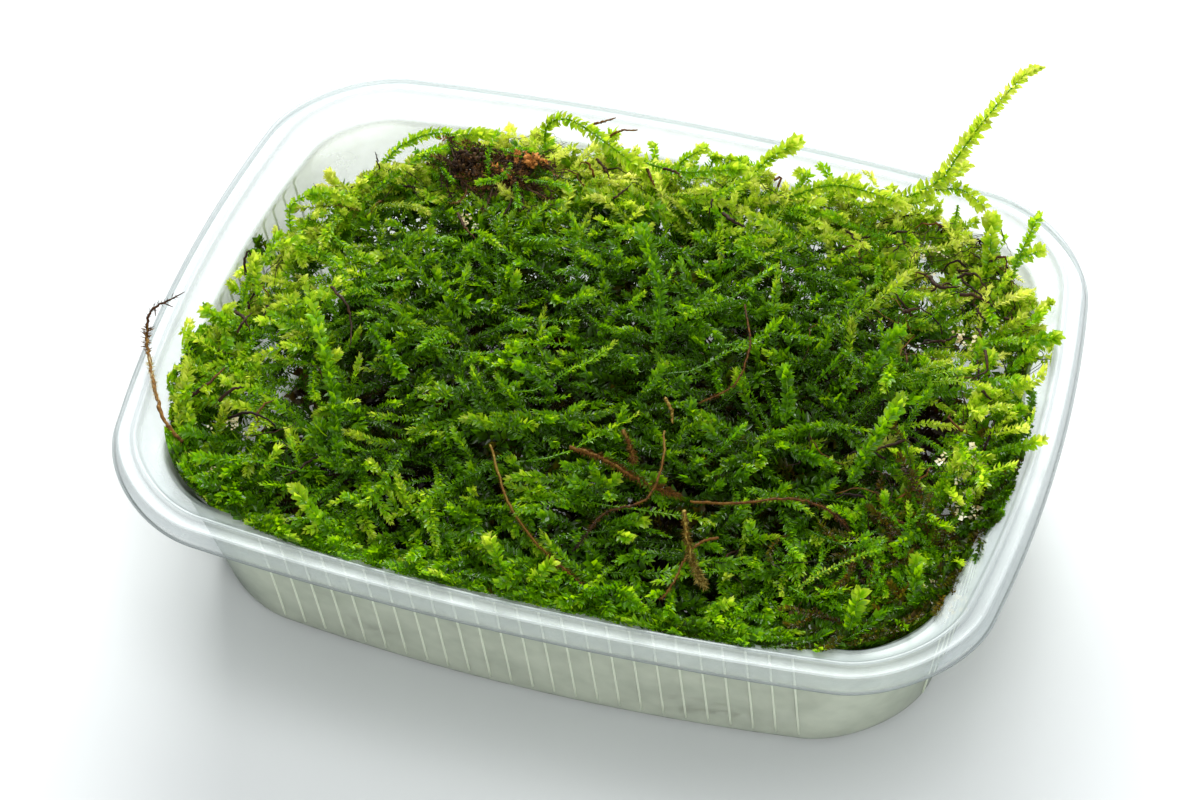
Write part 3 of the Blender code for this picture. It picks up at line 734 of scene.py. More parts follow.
def moss_leaf(name, glow, roughness):
    """Wet green leaf: colour by growth with a mottle of 12 percent either way, times 0.55 to 1.45 by tone.

    Glow is the share of light that comes through from behind.
    """
    material, tree, output = new_material(name)
    growth = add_node(tree, "ShaderNodeAttribute", attribute_name="growth")
    tone = add_node(tree, "ShaderNodeAttribute", attribute_name="tone")
    place = add_node(tree, "ShaderNodeTexCoord")
    mottle = add_node(tree, "ShaderNodeTexNoise", [(place.outputs["Object"], "Vector")])
    mottle.inputs["Scale"].default_value = 1.0 / LEAF_MOTTLE
    swing = add_node(tree, "ShaderNodeMath", [(mottle.outputs[0], 0)], operation="MULTIPLY_ADD",
                     in_1=0.24, in_2=-0.12)
    stage = add_node(tree, "ShaderNodeMath", [(growth.outputs["Fac"], 0), (swing.outputs[0], 1)],
                     operation="ADD")
    light = add_node(tree, "ShaderNodeMapRange", [(tone.outputs["Fac"], 0)], in_3=0.55, in_4=1.45)
    sides = []
    for stops in (LEAF_COLOURS, GLOW_COLOURS):
        ramp = add_node(tree, "ShaderNodeValToRGB", [(stage.outputs[0], 0)])
        set_ramp(ramp, stops)
        sides.append(add_node(tree, "ShaderNodeVectorMath", [(ramp.outputs[0], 0), (light.outputs[0], 1)],
                              operation="MULTIPLY"))
    gloss = add_node(tree, "ShaderNodeBsdfPrincipled", [(sides[0].outputs[0], "Base Color")])
    gloss.inputs["Roughness"].default_value = roughness
    gloss.inputs["IOR"].default_value = WET_LEAF_IOR
    gloss.inputs["Specular IOR Level"].default_value = 0.4
    through = add_node(tree, "ShaderNodeBsdfTranslucent", [(sides[1].outputs[0], "Color")])
    mixed = add_node(tree, "ShaderNodeMixShader", [(gloss.outputs[0], 1), (through.outputs[0], 2)], in_0=glow)
    tree.links.new(mixed.outputs[0], output.inputs[0])
    return material


FRESH_MOSS = moss_leaf("wet moss leaf", 0.52, 0.24)   # a film of water: small sharp lights on the tips
OLD_MOSS = moss_leaf("old moss leaf", 0.25, 0.6)      # dry and dull, with little light coming through
print("moss materials:", FRESH_MOSS.name, "and", OLD_MOSS.name)

# %% [markdown]
# The mat is a heap of shoots that lie over each other, so its top is a soft dome with dips at two
# corners.  Its height is worked out by formula, so every layer knows how high to lie.

# %% Shape of the heap
WALL_LEVEL = 39.5                               # height of the mat where it meets the wall
DOME_RISE = 7.0
DOME_HALF = (89.5, 67.3)
HEAP_PLACE, HEAP_REACH = (70.0, -36.0), 20.0    # the old growth in the front right corner
HEAP_SINK = 7.0
DEBRIS_PLACE, DEBRIS_REACH = (-36.5, 41.5), 8.0  # the litter at the back left
DEBRIS_SINK = 2.5


def falloff(x, y, place, reach):
    """A smooth hill of height 1 at a place, down to 0.6 at its reach."""
    return np.exp(-0.5 * ((x - place[0]) ** 2 + (y - place[1]) ** 2) / reach**2)


def dome_height(x, y):
    """Height of the mat's dome: the wall's level plus the rise times (1 - (x/a)^4)(1 - (y/b)^4).

    It sinks at the old corner and at the litter.
    """
    dome = np.clip((1.0 - (x / DOME_HALF[0]) ** 4) * (1.0 - (y / DOME_HALF[1]) ** 4), 0.0, 1.0)
    return (WALL_LEVEL + DOME_RISE * dome - HEAP_SINK * falloff(x, y, HEAP_PLACE, HEAP_REACH)
            - DEBRIS_SINK * falloff(x, y, DEBRIS_PLACE, DEBRIS_REACH))


def heap_height(x, y):
    """The dome with lumps and hollows: products of sines about 50 mm and 25 mm long."""
    lumps = 1.0 * np.sin(x / 8.5 + 0.6) * np.sin(y / 7.0 + 1.1)
    hollows = (1.7 * np.sin(x / 4.3 + 1.3 + 0.9 * np.sin(y / 8.0))
               * np.sin(y / 3.6 + 0.4 + 0.8 * np.sin(x / 11.0)))
    return dome_height(x, y) + lumps + np.minimum(hollows, 0.7)


print("height of the mat in its middle:", round(float(heap_height(0.0, 0.0)), 1), "mm")

# %% [markdown]
# No shoot may poke through the plastic.  Every path is pressed back into a rounded box that widens
# with height, as the tub does.  The heap also stands off the wall at the back and in a few gaps on
# the left, where pale plastic shows between the moss and the rim.

# %% Room in the tub
FLOOR_REACH = (76.3, 51.9)   # half sizes of the room for moss at the floor, the ledge and the lip
LEDGE_HALF = (80.8, 58.6)
LIP_REACH = (84.8, 62.6)
LIP_FROM, LIP_RUN = 40.0, 3.0   # the room widens to the lip's from this height on, over this much
LEFT_STAND_OFF = 3.3
BACK_GAP = 5.0
BARE_PLACE, BARE_REACH, BARE_GAP = (-66.0, 46.0), 17.0, 13.0
LEFT_GAPS = (
    # middle, reach, depth
    ((-83.0, -1.0), 8.0, 9.0), ((-79.0, 24.0), 10.0, 12.0), ((-62.0, 44.0), 8.0, 4.0),
)


def press_to_wall(points, margin):
    """Pull points back into the tub: inside a rounded box |x/a|^4 + |y/b|^4 = 1 that widens with height.

    Its half sizes go from the floor's to the ledge's with the wall, and on to the lip's between 40
    and 43 mm.  On the left of the lip the moss stays 3.3 mm further in.
    """
    x, y, z = points[..., 0], points[..., 1], points[..., 2]
    wall, lip = wall_rise(z), np.clip((z - LIP_FROM) / LIP_RUN, 0.0, 1.0)
    reach = [low + (ledge - low) * wall + (high - ledge) * lip - margin
             for low, ledge, high in zip(FLOOR_REACH, LEDGE_HALF, LIP_REACH)]
    far = np.abs(x / (reach[0] - LEFT_STAND_OFF * lip * (x < 0.0))) ** 4 + np.abs(y / reach[1]) ** 4
    shrink = np.where(far > 1.0, far ** -0.25, 1.0)
    return np.stack((x * shrink, y * shrink, z), axis=-1)


def wall_gap(x, y):
    """How far the heap stands off the wall: the back gap times (y/b)^3, plus hills at the other gaps."""
    gap = BACK_GAP * np.clip(y / RIM_HALF[1], 0.0, 1.0) ** 3
    gap = gap + BARE_GAP * falloff(x, y, BARE_PLACE, BARE_REACH)
    for middle, reach, depth in LEFT_GAPS:
        gap = gap + depth * falloff(x, y, middle, reach)
    return gap


def keep_inside(paths, margin):
    """Press paths to the wall, with the wider gaps."""
    return press_to_wall(paths, margin + wall_gap(paths[..., 0], paths[..., 1]))


print("gap at the bare corner:", round(float(wall_gap(*BARE_PLACE)), 1), "mm")

# %% [markdown]
# Two helpers lay out every kind of loose growth: one scatters the feet, and one lets a path wander
# from each foot.  The paths are flat, and each kind of growth adds its own heights.

# %% Feet and wandering paths
def wander(feet, heading, length, bend, samples=12):
    """Flat paths from the feet: the heading turns evenly by bend on the way, and swings by a small sine."""
    place = np.linspace(0.0, 1.0, samples)
    turn = heading[:, None] + bend[:, None] * place + 0.18 * np.sin(5.0 * place + 40.0 * heading[:, None])
    step = (length / (samples - 1))[:, None]
    x = np.cumsum(np.cos(turn) * step, axis=1) - np.cos(turn[:, :1]) * step
    y = np.cumsum(np.sin(turn) * step, axis=1) - np.sin(turn[:, :1]) * step
    return feet[:, 0, None] + x, feet[:, 1, None] + y, place


def scatter(count, draw, reach=1.0):
    """Feet over the rounded box: random points, with those outside |x|^4.5 + |y|^4.5 = 1 pulled onto it."""
    spots = draw.uniform(-1.0, 1.0, (count, 2))
    far = (np.abs(spots) ** 4.5).sum(axis=1) ** (1.0 / 4.5)
    spots /= np.maximum(far, 1.0)[:, None]
    return spots * np.array(LEDGE_HALF) * reach


# %% [markdown]
# The heap isn't equally thick everywhere.  Near the left, right and back walls some shoots are
# left out, so that the layers below and the plastic show between the others.

# %% Thin places
THIN_PLACE, THIN_REACH = (-60.0, 38.0), 15.0


def edge_share(x, y):
    """0 in the middle of the mat, 1 at the wall: the cube root of (x/a)^3 + (y/b)^3."""
    return np.clip(((np.abs(x) / LEDGE_HALF[0]) ** 3 + (np.abs(y) / LEDGE_HALF[1]) ** 3) ** (1 / 3), 0.0, 1.1)


def thin_places(x, y):
    """Where the heap is thin, 0 to 1: along the left, right and back walls, and most at the bare corner."""
    start = np.where(x < 0.0, -15.0, -40.0)
    near_wall = np.clip((edge_share(x, y) - 0.78) / 0.16, 0.0, 1.0) * np.clip((y - start) / 20.0, 0.0, 1.0)
    return np.clip(near_wall + 1.3 * falloff(x, y, THIN_PLACE, THIN_REACH), 0.0, 1.0)


def thin_out(paths, draw, share):
    """Leave out shoots in the thin places, each by the chance share times how thin it is there."""
    middle = paths[:, paths.shape[1] // 2]
    return paths[draw.random(len(paths)) > share * thin_places(middle[:, 0], middle[:, 1])]


print("how thin the heap is at the right wall:", round(float(thin_places(75.0, 0.0)), 2))

# %% [markdown]
# The top of the mat is made of shoots that creep along the surface and lift their tips.  Towards
# the edges they head outwards.  In the middle they lie mostly along the tub.  Their growth is
# high at the lit edges, partly as bleached tips and partly as painted light, and low in the old
# corner at the front right.

# %% Creeping shoots
def creeping_paths(count, draw, depth, rise, reach, length, margin):
    """Paths that come up from below the surface.

    Their height is the heap's less depth times (1 - s) squared, plus a lift that goes with s to the
    2.5, so that only the tip rises, and is smaller near the edge.
    """
    feet = scatter(count, draw, reach)
    edge = edge_share(feet[:, 0], feet[:, 1])
    outward = np.arctan2(feet[:, 1], feet[:, 0])
    lying = np.where(draw.random(count) < 0.5, 0.3, np.pi + 0.2)
    pull = edge**3
    heading = np.arctan2(np.sin(outward) * pull + np.sin(lying) * (1 - pull),
                         np.cos(outward) * pull + np.cos(lying) * (1 - pull)) + draw.normal(0.0, 0.65, count)
    long = draw.uniform(*length, count)
    x, y, place = wander(feet, heading, long, draw.normal(0.0, 0.7, count))
    start = draw.uniform(0.5, 1.0, count)[:, None] * depth
    lift = (rise * draw.gamma(1.2, 1.0, count) * (1.0 - 0.5 * edge))[:, None]
    z = heap_height(x, y) - start * (1.0 - place) ** 2 + lift * place**2.5 - 1.0
    return keep_inside(np.stack((x, y, z), axis=-1), margin)


def painted_side_light(tip):
    """How well the tips of shoots are lit: 0.35 near the front wall, and 1 from y = -15 mm backwards; it
    paints growth as painted light.
    """
    return 0.35 + 0.65 * np.clip((tip[:, 1] + 50.0) / 35.0, 0.0, 1.0)


def shoot_growth(paths, draw, base, gain):
    """Growth at foot and tip of each shoot: base, plus gain at the lit edge, less in the old corner.

    The gain at the lit edge is partly bleached tips and partly painted light.  Growth is raised by up to 0.10
    towards the back, painted light from the back, and the right half is older by 0.03.
    """
    tip = paths[:, -1]
    edge = edge_share(tip[:, 0], tip[:, 1])
    lit = painted_side_light(tip)
    old = falloff(tip[:, 0], tip[:, 1], HEAP_PLACE, 17.0)
    # painted light: growth raised where the tips are lit at the edges
    level = base + gain * lit * np.clip((edge - 0.45) / 0.45, 0.0, 1.0) ** 1.2 - 0.12 * old
    level = level + 0.10 * np.clip((tip[:, 1] - 25.0) / 20.0, 0.0, 1.0) - 0.03 * (tip[:, 0] > 0.0)
    level = level + draw.normal(0.0, 0.06, len(paths))
    return np.stack((level - 0.10, level + 0.22), axis=1)


# %% [markdown]
# All kinds of growth become meshes in the same way: leaves and thin stems along the paths, and
# then the painted shade of the heap, which darkens what lies deep.

# %% Leafy pieces
def face_up(paths, draw, tilt):
    """The way each shoot's flat side looks: up, leaning by a random tilt."""
    lean = [draw.normal(0.0, tilt, len(paths)) for _ in range(2)]
    return unit(np.stack((*lean, np.ones(len(paths))), axis=1))


def painted_depth_shade(points, triangles, growth, tone):
    """Painted shade: leaves below the dome are darkened, tone falling by 0.075 and growth by 0.02 per mm; the
    growth fall is partly older leaves and partly painted shade.

    Near the walls, where light comes in from the side, they fall by a third of that.
    """
    x, y, z = points.T
    near_wall = np.clip((edge_share(x, y) - 0.6) / 0.3, 0.0, 1.0)
    # painted shade: tone and growth fall with depth below the dome
    below = np.clip(dome_height(x, y) - z, 0.0, 9.0) * (1.0 - 0.67 * near_wall)
    return press_to_wall(points, 0.5), triangles, growth - 0.02 * below, tone - 0.075 * below


def foot_and_tip(base, older, younger):
    """Growth at foot and tip of each shoot: its base less one number, and plus another."""
    return np.stack((base - older, base + younger), axis=1)


def leafy_piece(name, paths, draw, leaves, leaf_length, leaf_width, growth, tone, stem, tilt=0.35, bud=0.25):
    """Leaves and three-sided stems of many shoots as one object."""
    face = face_up(paths, draw, tilt)
    blades = leaves_on(paths, face, leaves, leaf_length, leaf_width, growth, tone, SMALL_LEAF, draw, bud=bud)
    stalks = tubes(paths[:, ::2], np.full(len(paths), stem), 3, growth * 0.8 + 0.12, tone)
    return put_on_mesh(name, *painted_depth_shade(*join(blades, stalks)))


# %% [markdown]
# The mat has five layers of shoots, from long ones on top to short ones with broad leaves deep
# down.  One table holds their numbers, and one loop makes them.

# %% Mat
MAT_STEM = 0.14
MAT_LAYERS = (
    # name, shoots, leaves on each, run, depth, rise, base growth, edge gain, tone, thinning, leaf length,
    # leaf width as a share of it, bud
    ("moss_mat_creeping", 460, 190, (17.0, 34.0), 6.0, 1.3, 0.49, 0.27, 0.43, 0.3, (0.95, 1.4), 0.36, 0.3),
    ("moss_mat_long", 270, 200, (22.0, 36.0), 5.0, 2.2, 0.50, 0.27, 0.45, 0.3, (0.95, 1.5), 0.36, 0.4),
    ("moss_mat_tips", 380, 100, (9.0, 16.0), 8.0, 1.8, 0.51, 0.27, 0.46, 0.3, (0.95, 1.4), 0.42, 0.5),
    ("moss_mat_middle", 440, 190, (16.0, 30.0), 8.0, -0.8, 0.44, 0.32, 0.39, 0.5, (1.0, 1.5), 0.38, 0.3),
    ("moss_mat_deep", 620, 60, (10.0, 22.0), 14.0, -4.0, 0.38, 0.30, 0.40, 0.55, (2.2, 3.2), 0.45, 0.0),
)

for name, shoots, leaves, run, depth, rise, base, gain, light, thinning, leaf_size, ratio, bud in MAT_LAYERS:
    draw = np.random.default_rng(SEED + shoots + leaves)
    paths = thin_out(creeping_paths(shoots, draw, depth, rise, 0.99, run, 1.2), draw, thinning)
    growth = shoot_growth(paths, draw, base, gain)
    middle = paths[:, 6]
    # painted light: tone raised by up to 0.24 at the edges, most towards the back, where the back light comes
    # in
    edge = np.clip((edge_share(middle[:, 0], middle[:, 1]) - 0.55) / 0.35, 0.0, 1.0)
    tone = draw.normal(light, 0.16, len(paths))
    tone = tone + 0.24 * edge * np.clip((middle[:, 1] + 60.0) / 30.0, 0.3, 1.0)
    leaf_length = draw.uniform(*leaf_size, len(paths))
    piece = leafy_piece(name, paths, draw, leaves, leaf_length, leaf_length * ratio, growth, tone, MAT_STEM,
                        0.45, bud)
    finish_piece(piece, FRESH_MOSS, "green_moss", "moss_mat")

# %% [markdown]
# Along the walls free tips lean out over the ledge and up.  They break the heap's outline.  The
# light behind shines through them, and their growth is raised where they are lit, painted light,
# so they are the yellowest of all.

# %% Fringe
FRINGE_SHOOTS = 230
FRINGE_BARE_PLACE = (-46.0, 50.0)


def fringe_paths(count, draw):
    """Feet on a rounded ring near the wall, headings outwards with a spread of 0.6 radians, tips rising.

    A tip rises by the way along it to the 1.5, mostly 1 to 6 mm, and half that on the long sides.
    Shoots whose feet are near the bare corner or a left gap are left out by chance.
    """
    around = draw.uniform(0.0, 2.0 * np.pi, count)
    ring = np.stack((np.cos(around), np.sin(around)), axis=1)
    ring /= (np.abs(ring) ** 4).sum(axis=1, keepdims=True) ** 0.25
    feet = ring * np.array(LEDGE_HALF) * draw.uniform(0.84, 0.95, (count, 1))
    outward = np.arctan2(feet[:, 1] / 0.7, feet[:, 0]) + draw.normal(0.0, 0.6, count)
    x, y, place = wander(feet, outward, draw.uniform(6.0, 15.0, count), draw.normal(0.0, 0.7, count))
    tips = draw.gamma(2.0, 1.3, count) * np.where(np.abs(feet[:, 1]) > 35.0, 0.5, 1.0)
    z = dome_height(feet[:, 0], feet[:, 1])[:, None] - 3.0 * (1.0 - place) ** 2 + tips[:, None] * place**1.5
    gap = 0.5 + 0.75 * wall_gap(x, y)
    bare = 1.8 * falloff(feet[:, 0], feet[:, 1], FRINGE_BARE_PLACE, 20.0)
    for middle, reach, _ in LEFT_GAPS:
        bare = bare + 0.9 * falloff(feet[:, 0], feet[:, 1], middle, 1.3 * reach)
    kept = draw.random(count) > bare
    return press_to_wall(np.stack((x, y, z), axis=-1), gap)[kept]


draw = np.random.default_rng(SEED + 3)
fringe = thin_out(fringe_paths(FRINGE_SHOOTS, draw), draw, 0.2)
# painted light: growth raised where the fringe tips are lit
fringe_base = 0.52 + 0.26 * painted_side_light(fringe[:, -1]) + draw.normal(0.0, 0.07, len(fringe))
leaf_length = draw.uniform(1.2, 1.8, len(fringe))
piece = leafy_piece("moss_mat_fringe", fringe, draw, 76, leaf_length, leaf_length * 0.45,
                    foot_and_tip(fringe_base, 0.1, 0.1), draw.normal(0.68, 0.12, len(fringe)), MAT_STEM, 0.5)
finish_piece(piece, FRESH_MOSS, "green_moss", "moss_mat")

# %% [markdown]
# In the front right corner the growth is older: finer, olive and brown, with pale plastic showing
# through its gaps.  A few shoots of the same kind lie over the litter at the back left and hold it.

# %% Old growth
OLD_SHOOTS = 300
WEAVE_SHOOTS = 24

draw = np.random.default_rng(SEED + 5)
old_feet = np.array(HEAP_PLACE) + draw.normal(0.0, 1.0, (OLD_SHOOTS, 2)) * (11.0, 13.0)
old_x, old_y, old_place = wander(old_feet, draw.uniform(0.0, 2.0 * np.pi, OLD_SHOOTS),
                                 draw.uniform(6.0, 16.0, OLD_SHOOTS), draw.normal(0.0, 1.3, OLD_SHOOTS))
old_z = dome_height(old_x, old_y) + draw.uniform(-6.0, 1.5, OLD_SHOOTS)[:, None] + 2.0 * old_place
old_paths = keep_inside(np.stack((old_x, old_y, old_z), axis=-1), 1.0)
weave_feet = np.array(DEBRIS_PLACE) + draw.uniform(-1.0, 1.0, (WEAVE_SHOOTS, 2)) * (12.0, 5.0)
weave_way = draw.uniform(0.0, 2.0 * np.pi, WEAVE_SHOOTS)
weave_x, weave_y, weave_place = wander(weave_feet, weave_way, draw.uniform(6.0, 13.0, WEAVE_SHOOTS),
                                       draw.normal(0.0, 1.5, WEAVE_SHOOTS))
weave_z = (dome_height(weave_x, weave_y) + draw.uniform(0.0, 4.0, WEAVE_SHOOTS)[:, None]
           + draw.normal(0.0, 1.2, WEAVE_SHOOTS)[:, None] * weave_place)
old_paths = np.concatenate((old_paths, np.stack((weave_x, weave_y, weave_z), axis=-1)))
old_count = len(old_paths)
old_base = np.where(draw.random(old_count) < 0.6, draw.normal(0.62, 0.09, old_count),
                    draw.normal(0.16, 0.05, old_count))   # six in ten are olive and the others brown
old_base[-WEAVE_SHOOTS:] = draw.normal(0.55, 0.12, WEAVE_SHOOTS)
leaf_length = draw.uniform(0.8, 1.2, old_count)
piece = leafy_piece("moss_mat_old", old_paths, draw, 70, leaf_length, leaf_length * 0.45,
                    foot_and_tip(old_base, 0.08, 0.12), draw.normal(0.95, 0.14, old_count), 0.13, 0.6)
finish_piece(piece, FRESH_MOSS, "old_growth", "moss_mat")

# %% [markdown]
# Here and there over the whole heap run thin strands with very short leaves.  They lie on top of
# the mat, so they are creeping paths lifted by a couple of millimetres.

# %% Strands
STRAND_SHOOTS = 34
STRAND_LIFT = 2.2

strands = creeping_paths(STRAND_SHOOTS, draw, 2.0, 0.8, 0.85, (14.0, 26.0), 2.0)
strands[..., 2] += STRAND_LIFT
strand_base = draw.normal(0.62, 0.08, STRAND_SHOOTS)
leaf_length = draw.uniform(0.9, 1.3, STRAND_SHOOTS)
piece = leafy_piece("moss_mat_strands", strands, draw, 110, leaf_length, leaf_length * 0.4,
                    foot_and_tip(strand_base, 0.12, 0.12), draw.normal(0.66, 0.1, STRAND_SHOOTS), 0.16, 0.8)
finish_piece(piece, FRESH_MOSS, "young_shoot", "moss_mat")

# %% [markdown]
# At the front the moss is packed against the lip.  Shoots lie along the wall there, one over
# another, and the lip cuts them off from view in a clean line.

# %% Front rows
ROW_SHOOTS = 210
ROW_ELLIPSE = (120.0, 92.0)


def row_paths(count, draw):
    """Paths along the wall from the left side round the front to the middle of the right side.

    They lie on an ellipse outside the tub and are pressed back to its wall.  The angle round the
    tub runs evenly, the gap to the wall grows, and the height wavers by a sine.
    """
    start = np.radians(draw.uniform(-165.0, 5.0, count))
    way = np.where(draw.random(count) < 0.5, -1.0, 1.0)
    place = np.linspace(0.0, 1.0, 12)
    angle = start[:, None] + way[:, None] * draw.uniform(0.08, 0.24, count)[:, None] * place
    x, y = ROW_ELLIPSE[0] * np.cos(angle), ROW_ELLIPSE[1] * np.sin(angle)
    z = draw.uniform(40.0, 43.6, count)[:, None] + 0.8 * np.sin(3.0 * place + 6.0 * start[:, None])
    z = z - 2.5 * falloff(x * 0.7, y * 0.6, HEAP_PLACE, 16.0)
    inward = draw.uniform(0.0, 4.0, count)[:, None] * place
    return press_to_wall(np.stack((x, y, z), axis=-1), 0.9 + inward)


draw = np.random.default_rng(SEED + 4)
rows = row_paths(ROW_SHOOTS, draw)
row_middle = rows[:, 6]
row_base = (0.52 + draw.normal(0.0, 0.08, ROW_SHOOTS)
            - 0.25 * falloff(row_middle[:, 0], row_middle[:, 1], HEAP_PLACE, 22.0))
leaf_length = draw.uniform(1.0, 1.6, ROW_SHOOTS)
piece = leafy_piece("moss_mat_front", rows, draw, 90, leaf_length, leaf_length * 0.52,
                    foot_and_tip(row_base, 0.1, 0.14), draw.normal(0.54, 0.12, ROW_SHOOTS), MAT_STEM, 0.5)
finish_piece(piece, FRESH_MOSS, "green_moss", "moss_mat")

# %% [markdown]
# Seen through the wall, the sides of the heap are shoots pressed against the plastic.  They are
# made like the mat, with fewer and larger leaves, because the milky wall blurs them.

# %% Sides
SIDE_SHOOTS = 700
SIDE_ELLIPSE = (120.0, 100.0)


def wall_paths(count, draw, low, high, margin):
    """Paths that run up and along the inside of the wall at all heights between low and high.

    They lie on an ellipse outside the tub and are pressed back to its wall.
    """
    around = draw.uniform(0.0, 2.0 * np.pi, count)
    place = np.linspace(0.0, 1.0, 10)
    climb = draw.uniform(-0.2, 1.0, count)[:, None]
    swing = draw.normal(0.0, 1.0, count)[:, None]
    z = draw.uniform(low, high, count)[:, None] + 9.0 * climb * place
    angle = around[:, None] + 0.09 * swing * place
    x, y = np.cos(angle) * SIDE_ELLIPSE[0], np.sin(angle) * SIDE_ELLIPSE[1]
    return keep_inside(np.stack((x, y, z), axis=-1), margin)


draw = np.random.default_rng(SEED + 1)
side_paths = wall_paths(SIDE_SHOOTS, draw, 6.0, 34.0, 2.2)
side_paths[..., 2] = np.minimum(side_paths[..., 2], heap_height(side_paths[..., 0], side_paths[..., 1]) - 2.0)
side_paths = thin_out(side_paths, draw, 0.75)
side_count = len(side_paths)
side_growth = np.stack((draw.normal(0.35, 0.1, side_count), draw.normal(0.5, 0.1, side_count)), axis=1)
outward_face = unit(side_paths[:, 5] * np.array((1.0, 1.0, 0.0)))
size = draw.uniform(1.6, 2.4, side_count)
side_leaves = leaves_on(side_paths, outward_face, 40, size, size * 0.6, side_growth,
                        draw.normal(0.5, 0.1, side_count), SMALL_LEAF, draw)
sides_moss = put_on_mesh("moss_mat_sides", press_to_wall(side_leaves[0], 1.0), *side_leaves[1:])
finish_piece(sides_moss, FRESH_MOSS, "green_moss", "moss_mat")

# %% [markdown]
# At the bottom lies matted brown growth from past years, the bed that the green shoots stand on.
# It is deepest in the old corner at the front right.

# %% Bed
BED_SHOOTS = 620

draw = np.random.default_rng(SEED + 2)
bed_feet = scatter(BED_SHOOTS, draw, 0.88)
bed_x, bed_y, _ = wander(bed_feet, draw.uniform(0.0, 2.0 * np.pi, BED_SHOOTS),
                         draw.uniform(12.0, 26.0, BED_SHOOTS), draw.normal(0.0, 0.9, BED_SHOOTS))
bed_z = draw.uniform(2.5, 11.0, BED_SHOOTS)[:, None] + 8.0 * falloff(bed_x, bed_y, HEAP_PLACE, 20.0)
bed_paths = thin_out(keep_inside(np.stack((bed_x, bed_y, bed_z), axis=-1), 3.0), draw, 0.8)
bed_count = len(bed_paths)
bed_growth = np.stack((draw.normal(0.05, 0.06, bed_count), draw.normal(0.22, 0.1, bed_count)), axis=1)
bed = leafy_piece("moss_bed_shoots", bed_paths, draw, 40, draw.uniform(2.6, 3.8, bed_count),
                  np.full(bed_count, 1.8), bed_growth, draw.normal(0.7, 0.1, bed_count), 0.2)
finish_piece(bed, OLD_MOSS, "old_growth", "moss_bed")

# %% [markdown]
# Some shoots stand clear of the heap, and each of them is its own piece.  A few points along each
# one say how it bends.  A smooth curve through them carries the leaves.

